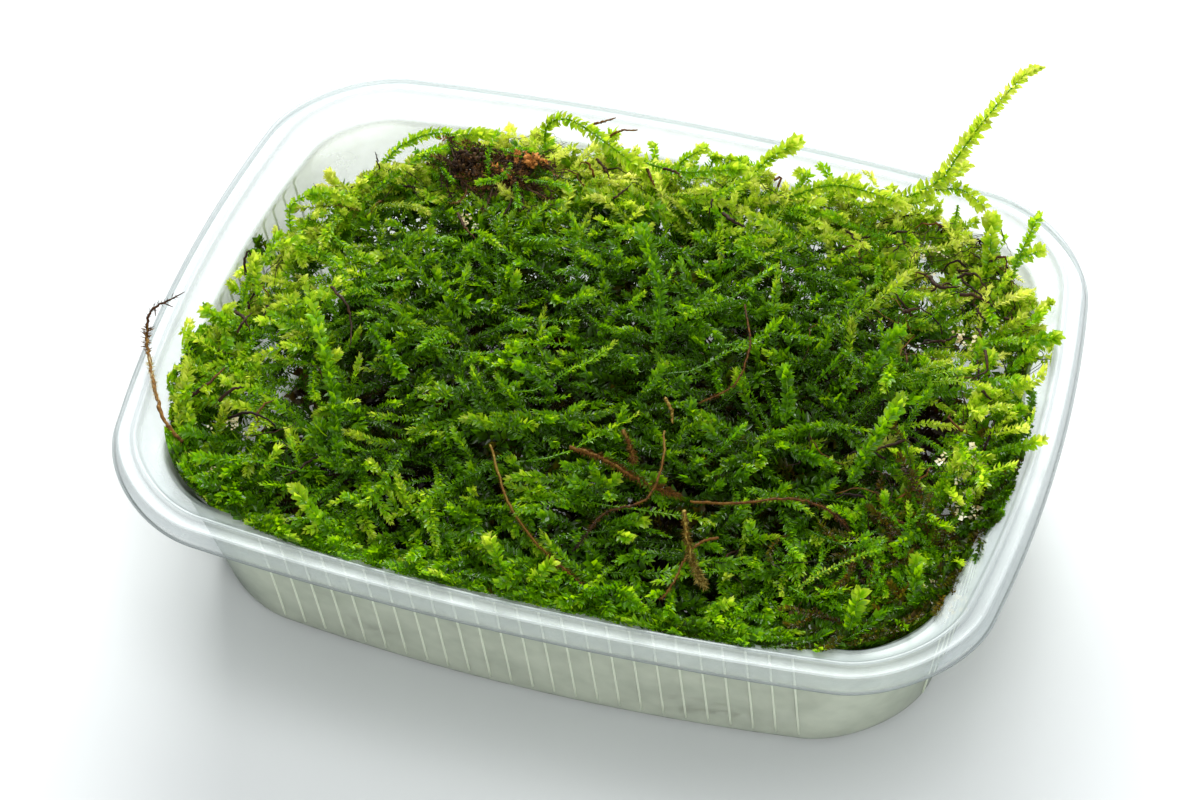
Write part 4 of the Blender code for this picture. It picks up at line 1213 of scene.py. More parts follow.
# %% Points of the single shoots
SHOOTS = (
    # name, half width, growth at foot and tip, points along it
    ("shoot_back_right_tall", 2.9, (0.84, 0.96), ((39.5, 52, 44.5), (46.5, 55, 46.5), (52.7, 58.1, 50.3),
     (56, 62.7, 55.3), (59.3, 67.2, 60.3), (62.8, 73, 64), (65.7, 77.5, 65.8), (68.4, 79.8, 65.6))),
    ("shoot_back_arch", 2.1, (0.78, 0.86), ((-29.7, 52.9, 42), (-29.4, 54.9, 47.3), (-24.4, 54.6, 50.3),
     (-17.1, 51.6, 49.8), (-9.7, 48.3, 48.5), (-3.6, 45.6, 46.5))),
    ("shoot_back_curled", 2.0, (0.76, 0.90), ((12.4, 49.1, 43.5), (14.6, 52.6, 46), (17.5, 55.7, 49),
     (20.6, 57.5, 51), (23.1, 59.7, 52.3))),
    ("shoot_back_frond_long", 1.8, (0.66, 0.82), ((-7.7, 50.5, 46.5), (1.2, 48.5, 48), (9, 49.6, 49.5),
     (14.2, 50.4, 50.5))),
    ("shoot_back_frond_short", 1.6, (0.70, 0.88), ((-1.7, 52.5, 44), (0.7, 54, 46.5), (4.5, 56.3, 48.5))),
    ("shoot_right_fan", 2.4, (0.72, 0.90), ((66.7, 39.8, 42.5), (66.6, 43.4, 47.3), (65.2, 50.4, 51.3))),
    ("shoot_right_brown_tip", 1.5, (0.66, 0.82), ((71.3, 40.5, 43), (72.7, 45.8, 48.3), (74.4, 52.5, 52.3))),
    ("shoot_right_over_lip", 2.0, (0.62, 0.80), ((75, 24.2, 43), (80.4, 24.4, 46.3), (84.4, 26, 47))),
    ("shoot_right_yellow_tip", 1.7, (0.55, 0.92), ((77.5, -3.2, 42.5), (82.5, -3.1, 45.8),
     (87.3, -1.2, 47.6))),
    ("shoot_right_small", 1.2, (0.60, 0.80), ((77.2, -10.1, 41), (80.3, -7.9, 43), (83.2, -6.7, 45))),
    ("shoot_left_upright", 1.9, (0.50, 0.84), ((-39.5, -44, 46), (-42.3, -37.5, 48.3), (-45, -30.4, 51),
     (-51.1, -20.2, 53.6), (-59.8, -5.8, 54.6))),
    ("shoot_left_arch", 1.8, (0.72, 0.86), ((-60.5, 35.5, 40), (-59.5, 42.5, 43), (-53.4, 47.4, 45.3),
     (-45.3, 48.5, 46.3), (-39.6, 49.5, 47))),
    ("shoot_left_rim", 1.9, (0.78, 0.94), ((-71.1, -40.3, 42.3), (-75, -34.2, 44.3), (-77.5, -26.1, 45.8))),
    ("shoot_left_top", 1.7, (0.72, 0.90), ((-70.7, -4.8, 42.5), (-73.2, -0.2, 45), (-75.2, 4.4, 46.6))),
    ("shoot_front_fork_left", 1.9, (0.66, 0.90), ((-2, -58, 44), (-4, -55.8, 46.8), (-6, -53.7, 49.3))),
    ("shoot_front_fork_right", 1.8, (0.66, 0.88), ((2.6, -58.6, 43.6), (4.6, -57.6, 46), (6.9, -55.4, 48.5))),
    ("shoot_front_right", 2.2, (0.62, 0.84), ((62.3, -51.4, 42.3), (62.6, -48.8, 44.6), (62.9, -45.6, 46.8))),
    ("shoot_front_corner", 2.0, (0.58, 0.82), ((71.9, -41.1, 38.3), (71.1, -36.1, 40.3),
     (70.3, -30.9, 42.3))),
    ("shoot_pale", 1.9, (0.50, 0.66), ((39.2, -11, 48), (38.4, -6.1, 50.5), (36.4, -1, 52.5))),
    ("shoot_light_right", 2.1, (0.55, 0.80), ((54.2, -19.3, 45), (56.4, -11.4, 48.3), (59.8, -1.4, 51.3))),
    ("shoot_front_left", 2.0, (0.64, 0.86), ((-35.7, -56.5, 43.6), (-40.3, -55.3, 46.6),
     (-45.6, -51.9, 48.8))),
    ("shoot_back_right_flat", 2.0, (0.78, 0.90), ((24, 48.5, 47), (31.6, 51.5, 49.5), (40, 51, 50.3),
     (48.4, 49.2, 50))),
    ("shoot_back_left", 1.8, (0.60, 0.82), ((-59.7, 24.3, 43.5), (-65.8, 25.7, 45.5), (-70.5, 23.6, 46))),
    ("shoot_left_far", 1.8, (0.62, 0.84), ((-70.7, -13.5, 43.5), (-75.3, -13, 45.5), (-79.7, -12.3, 46.6))),
    ("shoot_mid_left", 1.9, (0.46, 0.66), ((-47.2, -7.5, 47.3), (-39.7, -15.2, 49.3), (-34.9, -20.6, 49.6))),
    ("shoot_centre_left", 1.9, (0.46, 0.64), ((-5.4, -14.8, 48), (-9.8, -13.6, 50), (-14.2, -12.3, 50.8))),
    ("shoot_mid_right", 2.0, (0.50, 0.68), ((50.9, 4.4, 46.3), (52.6, 10.5, 48.8), (55.1, 16.4, 50.8))),
    ("shoot_centre", 2.0, (0.50, 0.70), ((9.6, 1.5, 49), (7.7, 11.4, 51.3), (2.9, 20.7, 53),
     (-1, 26.7, 53.3))),
)
print("single shoots:", len(SHOOTS))

# %% [markdown]
# The curve goes through all the points, as a spline does in a drawing program.  A free shoot shows
# its flat side to the front right and up, towards the open air, so that both rows of its leaves
# are seen.

# %% Free shoots
OPEN_SIDE = unit(np.array(to_camera))


def smooth_path(knots, samples):
    """A curve through the knots: a cubic on each span.

    Its slope at a knot is half the step between the knot's neighbours.
    """
    knots = np.array(knots, dtype=float)
    padded = np.concatenate((2 * knots[:1] - knots[1:2], knots, 2 * knots[-1:] - knots[-2:-1]))
    steps = np.linspace(0.0, len(knots) - 1.0, samples)
    span = np.minimum(steps.astype(int), len(knots) - 2)
    t = (steps - span)[:, None]
    before, start, end, after = (padded[span + shift] for shift in range(4))
    return 0.5 * (2 * start + (end - before) * t + (2 * before - 5 * start + 4 * end - after) * t**2
                  + (3 * start - 3 * end + after - before) * t**3)


def free_shoot(knots, half_width, growth, draw, style, taper=0.1):
    """Leaves and stalk of one shoot that stands clear.

    The style's leaf share is the leaf's length over the half width, and its leaf width is a share
    of that length.  Lean and flat are how far chance tilts the shoot and its leaves, and stalk is
    the stalk's radius.
    """
    path = smooth_path(knots, style["samples"])[None]
    run = np.linalg.norm(np.diff(path[0], axis=0), axis=1).sum()
    face = unit(OPEN_SIDE + draw.normal(0.0, style["lean"], 3) + (0.0, 0.0, 0.5))[None]
    length = np.array((half_width * style["leaf_share"],))
    blades = leaves_on(path, face, int(run * style["leaves_per_mm"]), length, length * style["leaf_width"],
                       np.array((growth,)), np.array((style["tone"],)), FINE_LEAF, draw, style["flat"], taper,
                       style["bud"])
    stalk = tubes(path, np.array((style["stalk"],)), style["stalk_sides"], np.array((style["stalk_growth"],)),
                  np.array((0.42,)))
    return blades, stalk


print("flat sides face:", np.round(OPEN_SIDE, 2))

# %% [markdown]
# Each single shoot gets its own numbers from chance, so changing one leaves the others as they are.
# The tall shoot at the back tapers to a fine tip.

# %% Single shoots
SINGLE_STYLE = {
    "samples": 24, "leaves_per_mm": 6.0, "lean": 0.2, "leaf_share": 0.98, "leaf_width": 0.46, "tone": 0.66,
    "flat": 0.45, "bud": 0.35, "stalk": 0.24, "stalk_sides": 8, "stalk_growth": (0.62, 0.78),
}
TALL_TAPER = 0.78
for number, (name, half_width, growth, knots) in enumerate(SHOOTS):
    draw = np.random.default_rng(SEED + 100 + number)
    taper = TALL_TAPER if name.endswith("tall") else 0.1
    blades, stalk = free_shoot(knots, half_width, growth, draw, SINGLE_STYLE, taper)
    finish_piece(put_on_mesh(name + "_leaves", *join(blades, stalk)), FRESH_MOSS, "young_shoot", name)

# %% [markdown]
# A few shoots of the mat also arch clear of it along the left, back and right edges, and a narrow
# one at the front right.  Without them the outline of the heap would be too even, so their points
# are given too.

# %% Arching edge shoots
ARCS = (
    # half width, growth at foot and tip, points along it
    (1.5, (0.68, 0.84), ((-73, -10.6, 42.3), (-74.9, -0.7, 44.3), (-72.6, 7.7, 45.8), (-68.2, 12.6, 45.3))),
    (1.6, (0.70, 0.90), ((-71, 13.2, 43.3), (-73.1, 20.6, 45.8), (-66.5, 24.7, 46.8), (-60.1, 24.1, 45.3))),
    (1.5, (0.66, 0.82), ((-61.7, 24.1, 44.3), (-55.7, 33.8, 45.8), (-50.8, 41.8, 46.3), (-45, 45.1, 45.3))),
    (1.7, (0.80, 0.62), ((-81, -9.5, 45.3), (-75.5, -13.3, 45.3), (-72.3, -18.7, 43.8))),
    (1.8, (0.82, 0.96), ((-73.1, -41.8, 42.3), (-76.5, -34.8, 43.8), (-77.7, -27.2, 44.8))),
    (2.0, (0.82, 0.96), ((24.8, 49.7, 46.3), (30.3, 52.7, 47.8), (36.4, 55.7, 48.8))),
    (2.1, (0.78, 0.90), ((51.9, 58, 47.3), (57.4, 58, 48.8), (63, 54.1, 49.3))),
    (2.0, (0.84, 0.96), ((50.1, 56.8, 46.3), (54.4, 60.2, 49.3), (57.2, 63.8, 50.3))),
    (1.3, (0.76, 0.80), ((57.5, 54.2, 48.3), (57.6, 51.3, 46.3), (56.7, 47.8, 44.3))),
    (1.9, (0.76, 0.92), ((70.9, 44.5, 45.3), (74.2, 46, 46.8), (76.4, 47.5, 47.3))),
    (1.3, (0.60, 0.78), ((77.5, 6, 42.3), (79.9, 7.1, 43.3), (81.9, 8.3, 44.3))),
    (1.6, (0.72, 0.88), ((6.4, 44, 44.3), (11.3, 47.7, 46.3), (15.7, 52.1, 47.3))),
    (1.8, (0.80, 0.92), ((37.9, 51.9, 44.3), (45.9, 53, 46.3), (52.5, 55.3, 47.3))),
    (1.5, (0.66, 0.80), ((-67.9, 10.6, 45.3), (-59.1, 7.2, 46.3), (-53.3, 0.4, 46.8))),
    (1.5, (0.64, 0.80), ((-63.7, 16.5, 44.3), (-56.7, 10.7, 46.3), (-51.1, 9, 46.8))),
    (0.9, (0.84, 0.64), ((51.5, -47.1, 46), (54, -44.3, 47), (57.8, -40.7, 47.5), (61.5, -36.8, 47),
     (64.1, -34, 46))),
)
ARC_STYLE = {
    "samples": 20, "leaves_per_mm": 5.0, "lean": 0.3, "leaf_share": 0.95, "leaf_width": 0.48, "tone": 0.68,
    "flat": 0.5, "bud": 0.3, "stalk": 0.2, "stalk_sides": 6, "stalk_growth": (0.6, 0.76),
}
arc_parts = []
for number, (half_width, growth, knots) in enumerate(ARCS):
    draw = np.random.default_rng(SEED + 600 + number)
    arc_parts.extend(free_shoot(knots, half_width, growth, draw, ARC_STYLE))
finish_piece(put_on_mesh("moss_mat_arcs", *join(*arc_parts)), FRESH_MOSS, "young_shoot", "moss_mat")

# %% [markdown]
# Stems, roots and soil crumbs are dead and dry: brown, speckled, dull, and a little rough to the
# touch.  One shader does for all of them.  Fine noise moves the growth number up and down its
# colour ramp, and the same noise raises small ridges.

# %% Bark material
BARK_SPECKLE = 0.7 * MM   # size of the specks, about the width of a stem


def stem_bark(name, stops, roughness):
    """Dry skin: the ramp's colours by growth with specks of 0.45 either way, and ridges 0.15 mm high."""
    material, tree, output = new_material(name)
    place = add_node(tree, "ShaderNodeTexCoord")
    growth = add_node(tree, "ShaderNodeAttribute", attribute_name="growth")
    specks = add_node(tree, "ShaderNodeTexNoise", [(place.outputs["Object"], "Vector")])
    specks.inputs["Scale"].default_value = 1.0 / BARK_SPECKLE
    specks.inputs["Detail"].default_value = 4.0
    spread = add_node(tree, "ShaderNodeMath", [(specks.outputs[0], 0)], operation="MULTIPLY_ADD",
                      in_1=0.9, in_2=-0.45)
    stage = add_node(tree, "ShaderNodeMath", [(growth.outputs["Fac"], 0), (spread.outputs[0], 1)],
                     operation="ADD")
    ramp = add_node(tree, "ShaderNodeValToRGB", [(stage.outputs[0], 0)])
    set_ramp(ramp, stops)
    bump = add_node(tree, "ShaderNodeBump", [(specks.outputs[0], "Height")])
    bump.inputs["Strength"].default_value = 0.6
    bump.inputs["Distance"].default_value = 0.15 * MM
    shader = add_node(tree, "ShaderNodeBsdfPrincipled",
                      [(ramp.outputs[0], "Base Color"), (bump.outputs[0], "Normal")])
    shader.inputs["Roughness"].default_value = roughness
    shader.inputs["Specular IOR Level"].default_value = 0.25
    tree.links.new(shader.outputs[0], output.inputs[0])
    return material


BARE_STEM = stem_bark("dry stem bark", ((0.0, "#1a0a05"), (0.35, "#331f08"), (0.6, "#6a420a"),
                                        (0.85, "#6c5a10"), (1.0, "#a8964a")), 0.75)
DEAD_ROOT = stem_bark("dead root bark", ((0.0, "#1c0d05"), (0.4, "#4a2a0e"), (0.7, "#8a6426"),
                                         (1.0, "#e8dcae")), 0.75)
SOIL = stem_bark("damp soil crumbs", ((0.0, "#1f130a"), (0.4, "#48300f"), (0.7, "#7f5220"),
                                      (1.0, "#c8853c")), 0.8)
print("bark materials:", BARE_STEM.name, DEAD_ROOT.name, SOIL.name)

# %% [markdown]
# Bare stems have lost their leaves, and some carry a felt of fine root hairs.  Each lies where a
# few points say, sunk a little between the leaves.  Two rhizoids, the root threads of a moss,
# stand up at the back.

# %% Points of the stems
STEMS = (
    # name, half width with its felt, growth at both ends, hairs per mm, points along it
    ("stem_front_long", 0.5, (0.80, 0.55), 12.0, ((-13.7, -30.3, 48.3), (-7.1, -41.3, 48), (0.1, -48.4, 47),
     (7.4, -53, 46), (17.5, -57.6, 43.5))),
    ("stem_orange", 0.8, (0.62, 0.60), 21.6, ((1.3, -27.4, 49), (7.5, -28.2, 49), (16.6, -31.5, 48.8),
     (24.6, -32.7, 48.3))),
    ("stem_orange_branch", 0.7, (0.70, 0.60), 21.6, ((10, -21.5, 50.5), (12.6, -25.2, 50.5),
     (14.5, -28.6, 50.3))),
    ("stem_purple", 0.45, (0.84, 0.05), 14.4, ((17.5, -19.1, 49.5), (19.7, -27.4, 50.5), (19, -35.4, 49),
     (12.2, -40.3, 48), (10.2, -45.7, 47.5), (9, -50, 47.3))),
    ("stem_right_curved", 0.5, (0.66, 0.40), 14.4, ((26.8, -33.3, 48.3), (34.2, -32.1, 48.6),
     (44.7, -27.9, 48.6), (52.3, -27.3, 47), (56.9, -29.8, 45.4))),
    ("stem_fuzzy", 0.8, (0.80, 0.96), 33.6, ((26.5, -36.5, 49), (30.1, -44.8, 47.8), (34.5, -50.6, 46.3))),
    ("stem_twig", 0.5, (0.60, 0.64), 9.6, ((34.3, -39.8, 47.6), (31.2, -41.8, 47.6), (29.6, -45.5, 47.2),
     (29, -51.2, 46.8), (27.6, -55.4, 46))),
    ("stem_back_red", 0.4, (0.40, 0.60), 14.4, ((23.7, 15.9, 50.3), (27.5, 6, 50.3), (27.3, -3.9, 49.6),
     (22, -9.8, 49))),
    ("stem_pale", 0.7, (0.85, 0.80), 0.0, ((15.4, -11.1, 49.6), (17.5, -13.9, 49.6), (18.4, -16.5, 49.3))),
    ("twig_right_dark", 0.5, (0.02, 0.10), 0.0, ((61.3, 39, 45), (66.5, 35, 46), (71.5, 31.3, 45.6))),
    ("twig_right_lower", 0.5, (0.02, 0.10), 0.0, ((69.3, 20.6, 45), (70.8, 16, 45.2), (71.8, 12, 44.8))),
    ("rhizoid_back_low", 0.6, (0.64, 0.60), 0.0, ((-16.7, 54.9, 46), (-15.7, 54.7, 48), (-13.8, 55.1, 49.5),
     (-10.2, 55.7, 50))),
    ("rhizoid_back_high", 0.6, (0.64, 0.60), 0.0, ((-21.5, 57.4, 46), (-20, 57, 48), (-17.8, 56.8, 49.5),
     (-15.4, 57.6, 50.5))),
)
print("stems, twigs and rhizoids:", len(STEMS))

# %% [markdown]
# A bare stem is a closed tube whose radius wobbles.  Its hairs are very narrow leaves set all
# round it, so the same function makes them.

# %% Stems and twigs
STEM_SAMPLES = 40
STEM_SINK = 1.4      # a stem settles this far in between the leaves
BARE_SHARE = 0.48    # radius of the bare stem as a share of its half width with the felt
HAIR_SHARE = 1.7     # length of a hair as a share of it


def rough_tube(path, radius, growth, draw, tip=0.5):
    """A tube whose radius wobbles along its way by two sines, a tenth and 8 percent of it."""
    place = np.linspace(0.0, 1.0, path.shape[1])
    phases = draw.uniform(0.0, 6.28, 3)   # three are drawn and two are used
    wobble = 1.0 + 0.10 * np.sin(31.0 * place + phases[0]) + 0.08 * np.sin(67.0 * place + phases[1])
    return tubes(path, (radius * wobble)[None], 8, np.array((growth,)), np.array((0.5,)), tip)


def hairs(path, per_mm, length, growth, draw):
    """Thin root hairs: leaves a tenth as wide as long, turned at random, so they stand all round the stem."""
    run = np.linalg.norm(np.diff(path[0], axis=0), axis=1).sum()
    long = np.array((length,))
    return leaves_on(path, np.array(((0.0, 0.0, 1.0),)), int(run * per_mm), long, long * 0.10,
                     np.array((growth,)), np.array((0.5,)), SMALL_LEAF, draw, flat=1.8)


for number, (name, thick, growth, per_mm, knots) in enumerate(STEMS):
    draw = np.random.default_rng(SEED + 200 + number)
    sink = 0.0 if name.startswith("rhizoid") else STEM_SINK
    path = smooth_path(knots, STEM_SAMPLES)[None]
    path[0] += draw.normal(0.0, 0.08, (STEM_SAMPLES, 3)) - (0.0, 0.0, sink)
    parts = [rough_tube(path, thick * BARE_SHARE, growth, draw)]
    if per_mm:
        parts.append(hairs(path, per_mm, thick * HAIR_SHARE, growth, draw))
    finish_piece(put_on_mesh(name + "_tube", *join(*parts)), BARE_STEM, "bare_stem", name)

# %% [markdown]
# The largest dead twigs have places of their own, most of them in the back right corner and along
# the left edge.  They are short rough tubes like the stems, made as one piece.

# %% Placed twigs
PLACED_TWIGS = (
    # half thickness, points along it
    (0.28, ((-76, 1, 44.5), (-76.5, 2.5, 47.5), (-76, 4, 48.5), (-76, 4, 45))),
    (0.2, ((-59, 34, 47), (-59.5, 34.5, 49.5), (-60, 35, 51))),
    (0.12, ((-69.5, 25, 45), (-69.5, 25, 47), (-70, 25, 49))),
    (0.35, ((-74.5, -9, 44.5), (-71, -12.5, 47.5), (-69, -14.5, 46.5))),
    (0.3, ((-71, -16, 47), (-70.5, -13.5, 48), (-70.5, -9.5, 46))),
    (0.4, ((-74.5, -32.5, 45), (-72, -31, 47), (-70, -25.5, 47))),
    (0.35, ((-68.5, -33, 46), (-66, -31, 48), (-64.5, -29, 47))),
    (0.3, ((-57, -0.5, 48), (-52.5, -4.5, 49), (-50, -8, 47.5), (-48, -14, 47.5))),
    (0.12, ((65.5, 53.5, 49), (67.5, 50.5, 47), (70.5, 47.5, 44))),
    (0.28, ((67, 42, 47.5), (68.5, 43, 48), (70, 43.5, 47.5), (70.5, 40, 46))),
    (0.45, ((56.5, 34.5, 47.5), (59, 32, 48), (62.5, 34.5, 46.5))),
    (0.4, ((63, 32.5, 46.5), (66, 33, 46.5), (69.5, 32.5, 45.5))),
    (0.28, ((61.5, 37.5, 46), (63.5, 38, 47), (66, 37, 47.5), (70, 32.5, 45.5))),
    (0.3, ((66.5, 31.5, 45.5), (68, 29, 46), (69.5, 28, 45))),
    (0.32, ((71, 20.5, 45.5), (72, 17.5, 46), (72.5, 15, 45.5), (70.5, 12.5, 46))),
    (0.26, ((68.5, 25.5, 45.5), (69.5, 23.5, 46), (70.5, 23, 45))),
    (0.3, ((72.5, 30.5, 44.5), (75, 29.5, 45.5), (78, 29, 45))),
    (0.34, ((72, 11, 45), (73.5, 9.5, 45.5), (75, 9, 44.5))),
    (0.4, ((53.5, 24.5, 47), (55, 25, 47.5), (56.5, 26.5, 47))),
    (0.35, ((-6.5, 49, 48), (-4.5, 45.5, 48.5), (-3, 44, 47.5))),
    (0.4, ((12.5, 40, 48), (15.5, 37, 49.5), (18, 37, 48.5))),
    (0.3, ((-17, 49, 47), (-14, 45.5, 48), (-12.5, 43.5, 47.5))),
    (0.3, ((-39.5, 26.5, 47), (-36.5, 22, 48.5), (-33.5, 20, 48))),
    (0.25, ((-10, 37.5, 48.5), (-8.5, 39.5, 49), (-7.5, 42, 49))),
    (0.3, ((-2.5, 48, 49), (0, 47, 50), (2, 46, 49.5))),
    (0.3, ((61.5, -5.5, 44.5), (57.5, -9.5, 45.5), (54.5, -12, 45))),
)
TWIG_SAMPLES = 16
TWIG_SINK = 0.5
twig_parts = []
for number, (thick, knots) in enumerate(PLACED_TWIGS):
    draw = np.random.default_rng(SEED + 700 + number)
    path = smooth_path(knots, TWIG_SAMPLES)[None]
    path[0] += draw.normal(0.0, 0.10, (TWIG_SAMPLES, 3)) - (0.0, 0.0, TWIG_SINK)
    growth = (0.10 + 0.3 * draw.random(), 0.15 + 0.4 * draw.random())
    twig_parts.append(rough_tube(path, thick, growth, draw, 0.3))
finish_piece(put_on_mesh("moss_mat_placed_twigs", *join(*twig_parts)), BARE_STEM, "bare_stem", "moss_mat")

# %% [markdown]
# Among the green lie more dead twigs and root threads, dark brown and thin, most of them near the
# right, left and back edges.  They are scattered by chance: many feet are drawn, and those that
# suit such a place best are kept.

# %% Scattered twigs
def loose_twigs(count, draw, thick, length):
    """Twigs on the mat: feet near the edges, low wandering paths that rise and fall by half a sine."""
    feet = scatter(count * 6, draw, 0.96)
    edge = edge_share(feet[:, 0], feet[:, 1])
    wanted = edge + 0.25 * (feet[:, 0] > 40.0) + 0.15 * (feet[:, 1] > 20.0) - 0.5 * (feet[:, 1] < -40.0)
    feet = feet[np.argsort(-wanted + draw.normal(0.0, 0.25, len(feet)))[:count]]
    x, y, place = wander(feet, draw.uniform(0.0, 2.0 * np.pi, count), draw.uniform(*length, count),
                         draw.normal(0.0, 1.1, count), 10)
    bob = draw.uniform(0.5, 2.2, count)[:, None]
    bob = bob * np.sin(np.pi * place + draw.uniform(-0.5, 0.5, count)[:, None])
    x, y = x + draw.normal(0.0, 0.22, x.shape), y + draw.normal(0.0, 0.22, y.shape)
    z = heap_height(x, y) + bob - draw.uniform(0.5, 1.6, count)[:, None]
    paths = keep_inside(np.stack((x, y, z), axis=-1), 1.5)
    growth = np.repeat(0.6 * draw.random(count)[:, None] ** 2, 2, axis=1)
    return tubes(paths, draw.uniform(*thick, count), 5, growth, np.full(count, 0.5))


draw = np.random.default_rng(SEED + 250)
twigs = join(loose_twigs(70, draw, (0.16, 0.32), (4.0, 10.0)),
             loose_twigs(210, draw, (0.06, 0.12), (5.0, 15.0)))
finish_piece(put_on_mesh("moss_mat_twigs", *twigs), BARE_STEM, "bare_stem", "moss_mat")

# %% [markdown]
# Over the left rim hangs a dead root, brown with patches of pale yellow felt.  It is two rough
# tubes, a thicker and a thinner one, with three stubs of side twigs near the end and three
# stretches of hairs, each with its own colour.

# %% Dead root
ROOT_POINTS = ((-72.5, -42.8, 43), (-76.8, -40.6, 45.6), (-80.8, -34.9, 46.8), (-84.8, -27.9, 47.3),
               (-87.2, -22.8, 48.3), (-87.8, -18.4, 50.3), (-83.6, -15.2, 52.3))
ROOT_SAMPLES = 70
THIN_FROM = 45                      # the sample where the thin end starts
STUB_SAMPLES = (60, 64, 68)
STUB_REACH = np.array(((0.6, -1.5, -0.8), (2.6, -1.2, 0.8), (1.8, 1.6, 0.6)))

draw = np.random.default_rng(SEED + 300)
root_path = smooth_path(ROOT_POINTS, ROOT_SAMPLES)[None]
root_path[0] += draw.normal(0.0, 0.10, (ROOT_SAMPLES, 3))
stub_feet = root_path[0, STUB_SAMPLES]
stub_ends = stub_feet + STUB_REACH
stub_paths = stub_feet[:, None] + (stub_ends - stub_feet)[:, None] * np.linspace(0.0, 1.0, 6)[:, None]
root = join(rough_tube(root_path[:, :THIN_FROM + 1], 0.40, (0.55, 0.62), draw, 0.8),
            rough_tube(root_path[:, THIN_FROM:], 0.30, (0.32, 0.28), draw),
            tubes(stub_paths, np.full(3, 0.16), 5, np.full((3, 2), 0.3), np.full(3, 0.5)),
            hairs(root_path[:, 18:36], 16.0, 1.1, (0.98, 0.98), draw),
            hairs(root_path[:, 36:50], 12.0, 1.5, (0.62, 0.5), draw),
            hairs(root_path[:, 50:], 3.0, 1.2, (0.3, 0.3), draw))
finish_piece(put_on_mesh("root_dead_tube", *root), DEAD_ROOT, "dead_root", "root_dead")

# %% [markdown]
# At the back left lies a dark tangle of soil crumbs and dead scraps.  Each crumb is a ball of 36
# facets pushed out of round.

# %% Crumbs
def coarse_ball():
    """Points and facets of a ball: three rings of six points at -50, 0 and 50 degrees, and two poles."""
    turns, rises = np.meshgrid(np.arange(6) * np.pi / 3.0, np.radians((-50.0, 0.0, 50.0)))
    ball = np.stack((np.cos(turns) * np.cos(rises), np.sin(turns) * np.cos(rises), np.sin(rises)), axis=-1)
    ball = np.concatenate((ball.reshape(-1, 3), ((0.0, 0.0, -1.0), (0.0, 0.0, 1.0))))
    ring, turned = np.arange(6), np.roll(np.arange(6), -1)
    facets = [np.stack((ring + low, turned + low, turned + low + 6), axis=1) for low in (0, 6)]
    facets += [np.stack((ring + low, turned + low + 6, ring + low + 6), axis=1) for low in (0, 6)]
    facets.append(np.stack((turned, ring, np.full(6, 18)), axis=1))
    facets.append(np.stack((ring + 12, turned + 12, np.full(6, 19)), axis=1))
    return ball, np.concatenate(facets)


def crumbs(count, centre, half, size, growth, draw):
    """Small lumps: the points of a coarse ball, each moved in or out by a random share of its radius.

    They fill an ellipsoid, a little denser in its middle: a random direction times a random number
    to the 0.4.
    """
    ball, facets = coarse_ball()
    spread = unit(draw.normal(0.0, 1.0, (count, 3))) * (draw.random(count) ** 0.4)[:, None]
    spots = spread * np.array(half) + np.array(centre)
    sizes = draw.uniform(*size, count)[:, None, None]
    shape = ball[None] * draw.uniform(0.6, 1.25, (count, len(ball), 1))
    shape = shape * draw.uniform(0.6, 1.2, (count, 1, 3))
    points = spots[:, None] + shape * sizes
    triangles = (facets[None] + (np.arange(count) * len(ball))[:, None, None]).reshape(-1, 3)
    fresh = np.repeat(draw.normal(growth, 0.12, count), len(ball))
    return points.reshape(-1, 3), triangles, fresh, np.full(len(fresh), 0.5)


print("facets of a crumb:", len(coarse_ball()[1]))

# %% [markdown]
# The scraps between the crumbs are dead shoots and stems, turned all ways.

# %% Scraps
DEBRIS_HALF = (10.0, 5.0, 3.2)
DEBRIS_TOP = 1.4   # no scrap rises higher above the tangle's centre
debris_centre = (*DEBRIS_PLACE, dome_height(*DEBRIS_PLACE) + 3.0)


def scraps(count, draw, length):
    """Short paths all through the tangle, which sags in its middle: z falls with 1 minus (x/a) squared.

    They end at a level top and at a wavy line at the back.
    """
    feet = scatter(count, draw) / np.array(LEDGE_HALF) * np.array(DEBRIS_HALF[:2]) * 0.9
    feet = feet + np.array(DEBRIS_PLACE)
    x, y, place = wander(feet, draw.uniform(0.0, 2.0 * np.pi, count), draw.uniform(*length, count),
                         draw.normal(0.0, 1.5, count))
    sag = 1.6 * (1.0 - np.clip((x - DEBRIS_PLACE[0]) / DEBRIS_HALF[0], -1.0, 1.0) ** 2)
    z = debris_centre[2] + draw.normal(0.2, 1.0, count)[:, None] - sag
    z = z + place * draw.normal(0.0, 0.7, count)[:, None]
    z = np.minimum(z, debris_centre[2] + DEBRIS_TOP)
    y = np.minimum(y, DEBRIS_PLACE[1] + DEBRIS_HALF[1] - 0.5 + 0.3 * np.sin(x))
    return np.stack((x, y, z), axis=-1)


def dead_shoots(paths, draw, growth, leaves):
    """Leaves turned all ways along the paths, and four-sided stems under them."""
    count = len(paths)
    stage = np.stack((draw.normal(growth, 0.15, count), draw.normal(growth, 0.15, count)), axis=1)
    blades = leaves_on(paths, face_up(paths, draw, 0.9), leaves, np.full(count, 0.9), np.full(count, 0.35),
                       stage, np.full(count, 0.5), SMALL_LEAF, draw, flat=1.0)
    return join(blades, tubes(paths, draw.uniform(0.1, 0.25, count), 4, stage, np.full(count, 0.5)))


print("middle of the litter:", np.round(debris_centre, 1), "mm")

# %% [markdown]
# Most crumbs lie in the left half of the tangle.  At its right end sits a small tuft of lighter
# litter, the same scraps at three tenths of their size.

# %% Litter
TUFT_SHARE = 0.30
LIGHT_CRUMBS = (-29.0, 44.0, debris_centre[2] + 2.2)

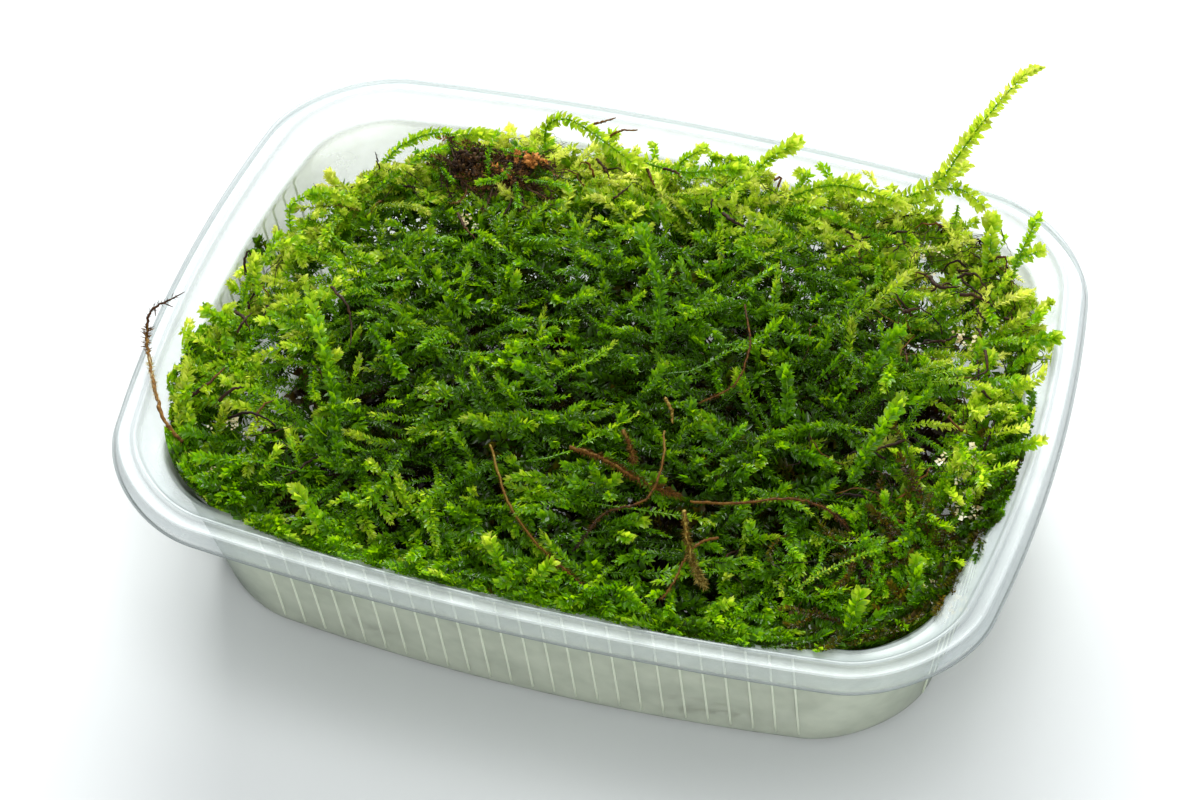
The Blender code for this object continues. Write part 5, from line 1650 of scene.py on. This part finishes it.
draw = np.random.default_rng(SEED + 400)
tuft_place = np.array((-29.5, 44.0, debris_centre[2] + 2.2))
tuft = tuft_place + scraps(14, draw, (2.0, 3.5)) * TUFT_SHARE - TUFT_SHARE * np.array(debris_centre)
debris_left = np.array(debris_centre) - (5.5, 0.0, 0.0)
debris = join(crumbs(110, debris_left, (4.2, 4.0, 2.6), (0.25, 0.7), 0.2, draw),
              crumbs(70, debris_centre, DEBRIS_HALF, (0.2, 0.5), 0.3, draw),
              crumbs(26, LIGHT_CRUMBS, (2.6, 1.8, 1.8), (0.3, 0.7), 0.9, draw),
              dead_shoots(scraps(110, draw, (4.0, 10.0)), draw, 0.30, 34),
              dead_shoots(scraps(14, draw, (4.0, 9.0)), draw, 0.6, 30),
              dead_shoots(tuft, draw, 0.95, 16),
              tubes(scraps(40, draw, (5.0, 12.0)), draw.uniform(0.15, 0.3, 40), 4, np.full((40, 2), 0.1),
                    np.full(40, 0.5)))
finish_piece(put_on_mesh("debris_crumbs", *debris), SOIL, "debris", "debris_clump")

# %% [markdown]
# Small pale flecks lie between the leaves, most of them along the right edge, a few on the left and
# at the back.  They are partly dry leaves that have lost their green and partly painted light, pale
# where light shows through gaps in the heap.  They are loose groups of short paths with four broad
# leaves on each.

# %% Pale flecks
FLECK_GROUPS = (
    # middle of the group, and how many flecks
    ((66.6, 24.0, 42.6), 7), ((73.0, -7.5, 41.6), 12), ((76.0, -6.0, 41.4), 9),
    ((76.5, -14.5, 40.4), 14), ((74.5, -34.5, 38.2), 14), ((77.0, -38.0, 38.0), 12),
    ((-59.6, -47.5, 41.6), 6), ((-65.4, -35.5, 42.2), 7), ((-30.0, 28.5, 44.2), 5),
    ((-37.0, 29.0, 43.2), 4), ((49.5, 41.0, 43.4), 6), ((54.5, 44.0, 43.4), 5),
)
draw = np.random.default_rng(SEED + 500)
fleck_places = np.repeat([middle for middle, _ in FLECK_GROUPS], [count for _, count in FLECK_GROUPS], axis=0)
fleck_count = len(fleck_places)
fleck_feet = fleck_places + draw.normal(0.0, 1.0, (fleck_count, 3)) * (1.7, 1.3, 0.4)
fleck_x, fleck_y, _ = wander(fleck_feet, draw.uniform(0.0, 2.0 * np.pi, fleck_count),
                             draw.uniform(0.8, 2.2, fleck_count), draw.normal(0.0, 1.0, fleck_count), 4)
fleck_paths = np.stack((fleck_x, fleck_y, np.broadcast_to(fleck_feet[:, 2:], fleck_x.shape)), axis=-1)
fleck_size = draw.uniform(0.6, 1.2, fleck_count)
fleck_faces = face_up(fleck_paths, draw, 0.3)
flecks = leaves_on(fleck_paths, fleck_faces, 4, fleck_size, fleck_size * 0.8,
                   draw.uniform(0.2, 0.9, (fleck_count, 2)), np.full(fleck_count, 0.5), SMALL_LEAF, draw)
PAINTED_LIGHT_FLECKS = stem_bark("pale scraps with painted light",   # cream with tan patches, partly painted light
                        ((0.0, "#94713a"), (0.45, "#c9bf8e"), (1.0, "#f4f2e0")), 0.7)
finish_piece(put_on_mesh("moss_mat_flecks", *flecks), PAINTED_LIGHT_FLECKS, "old_growth", "moss_mat")
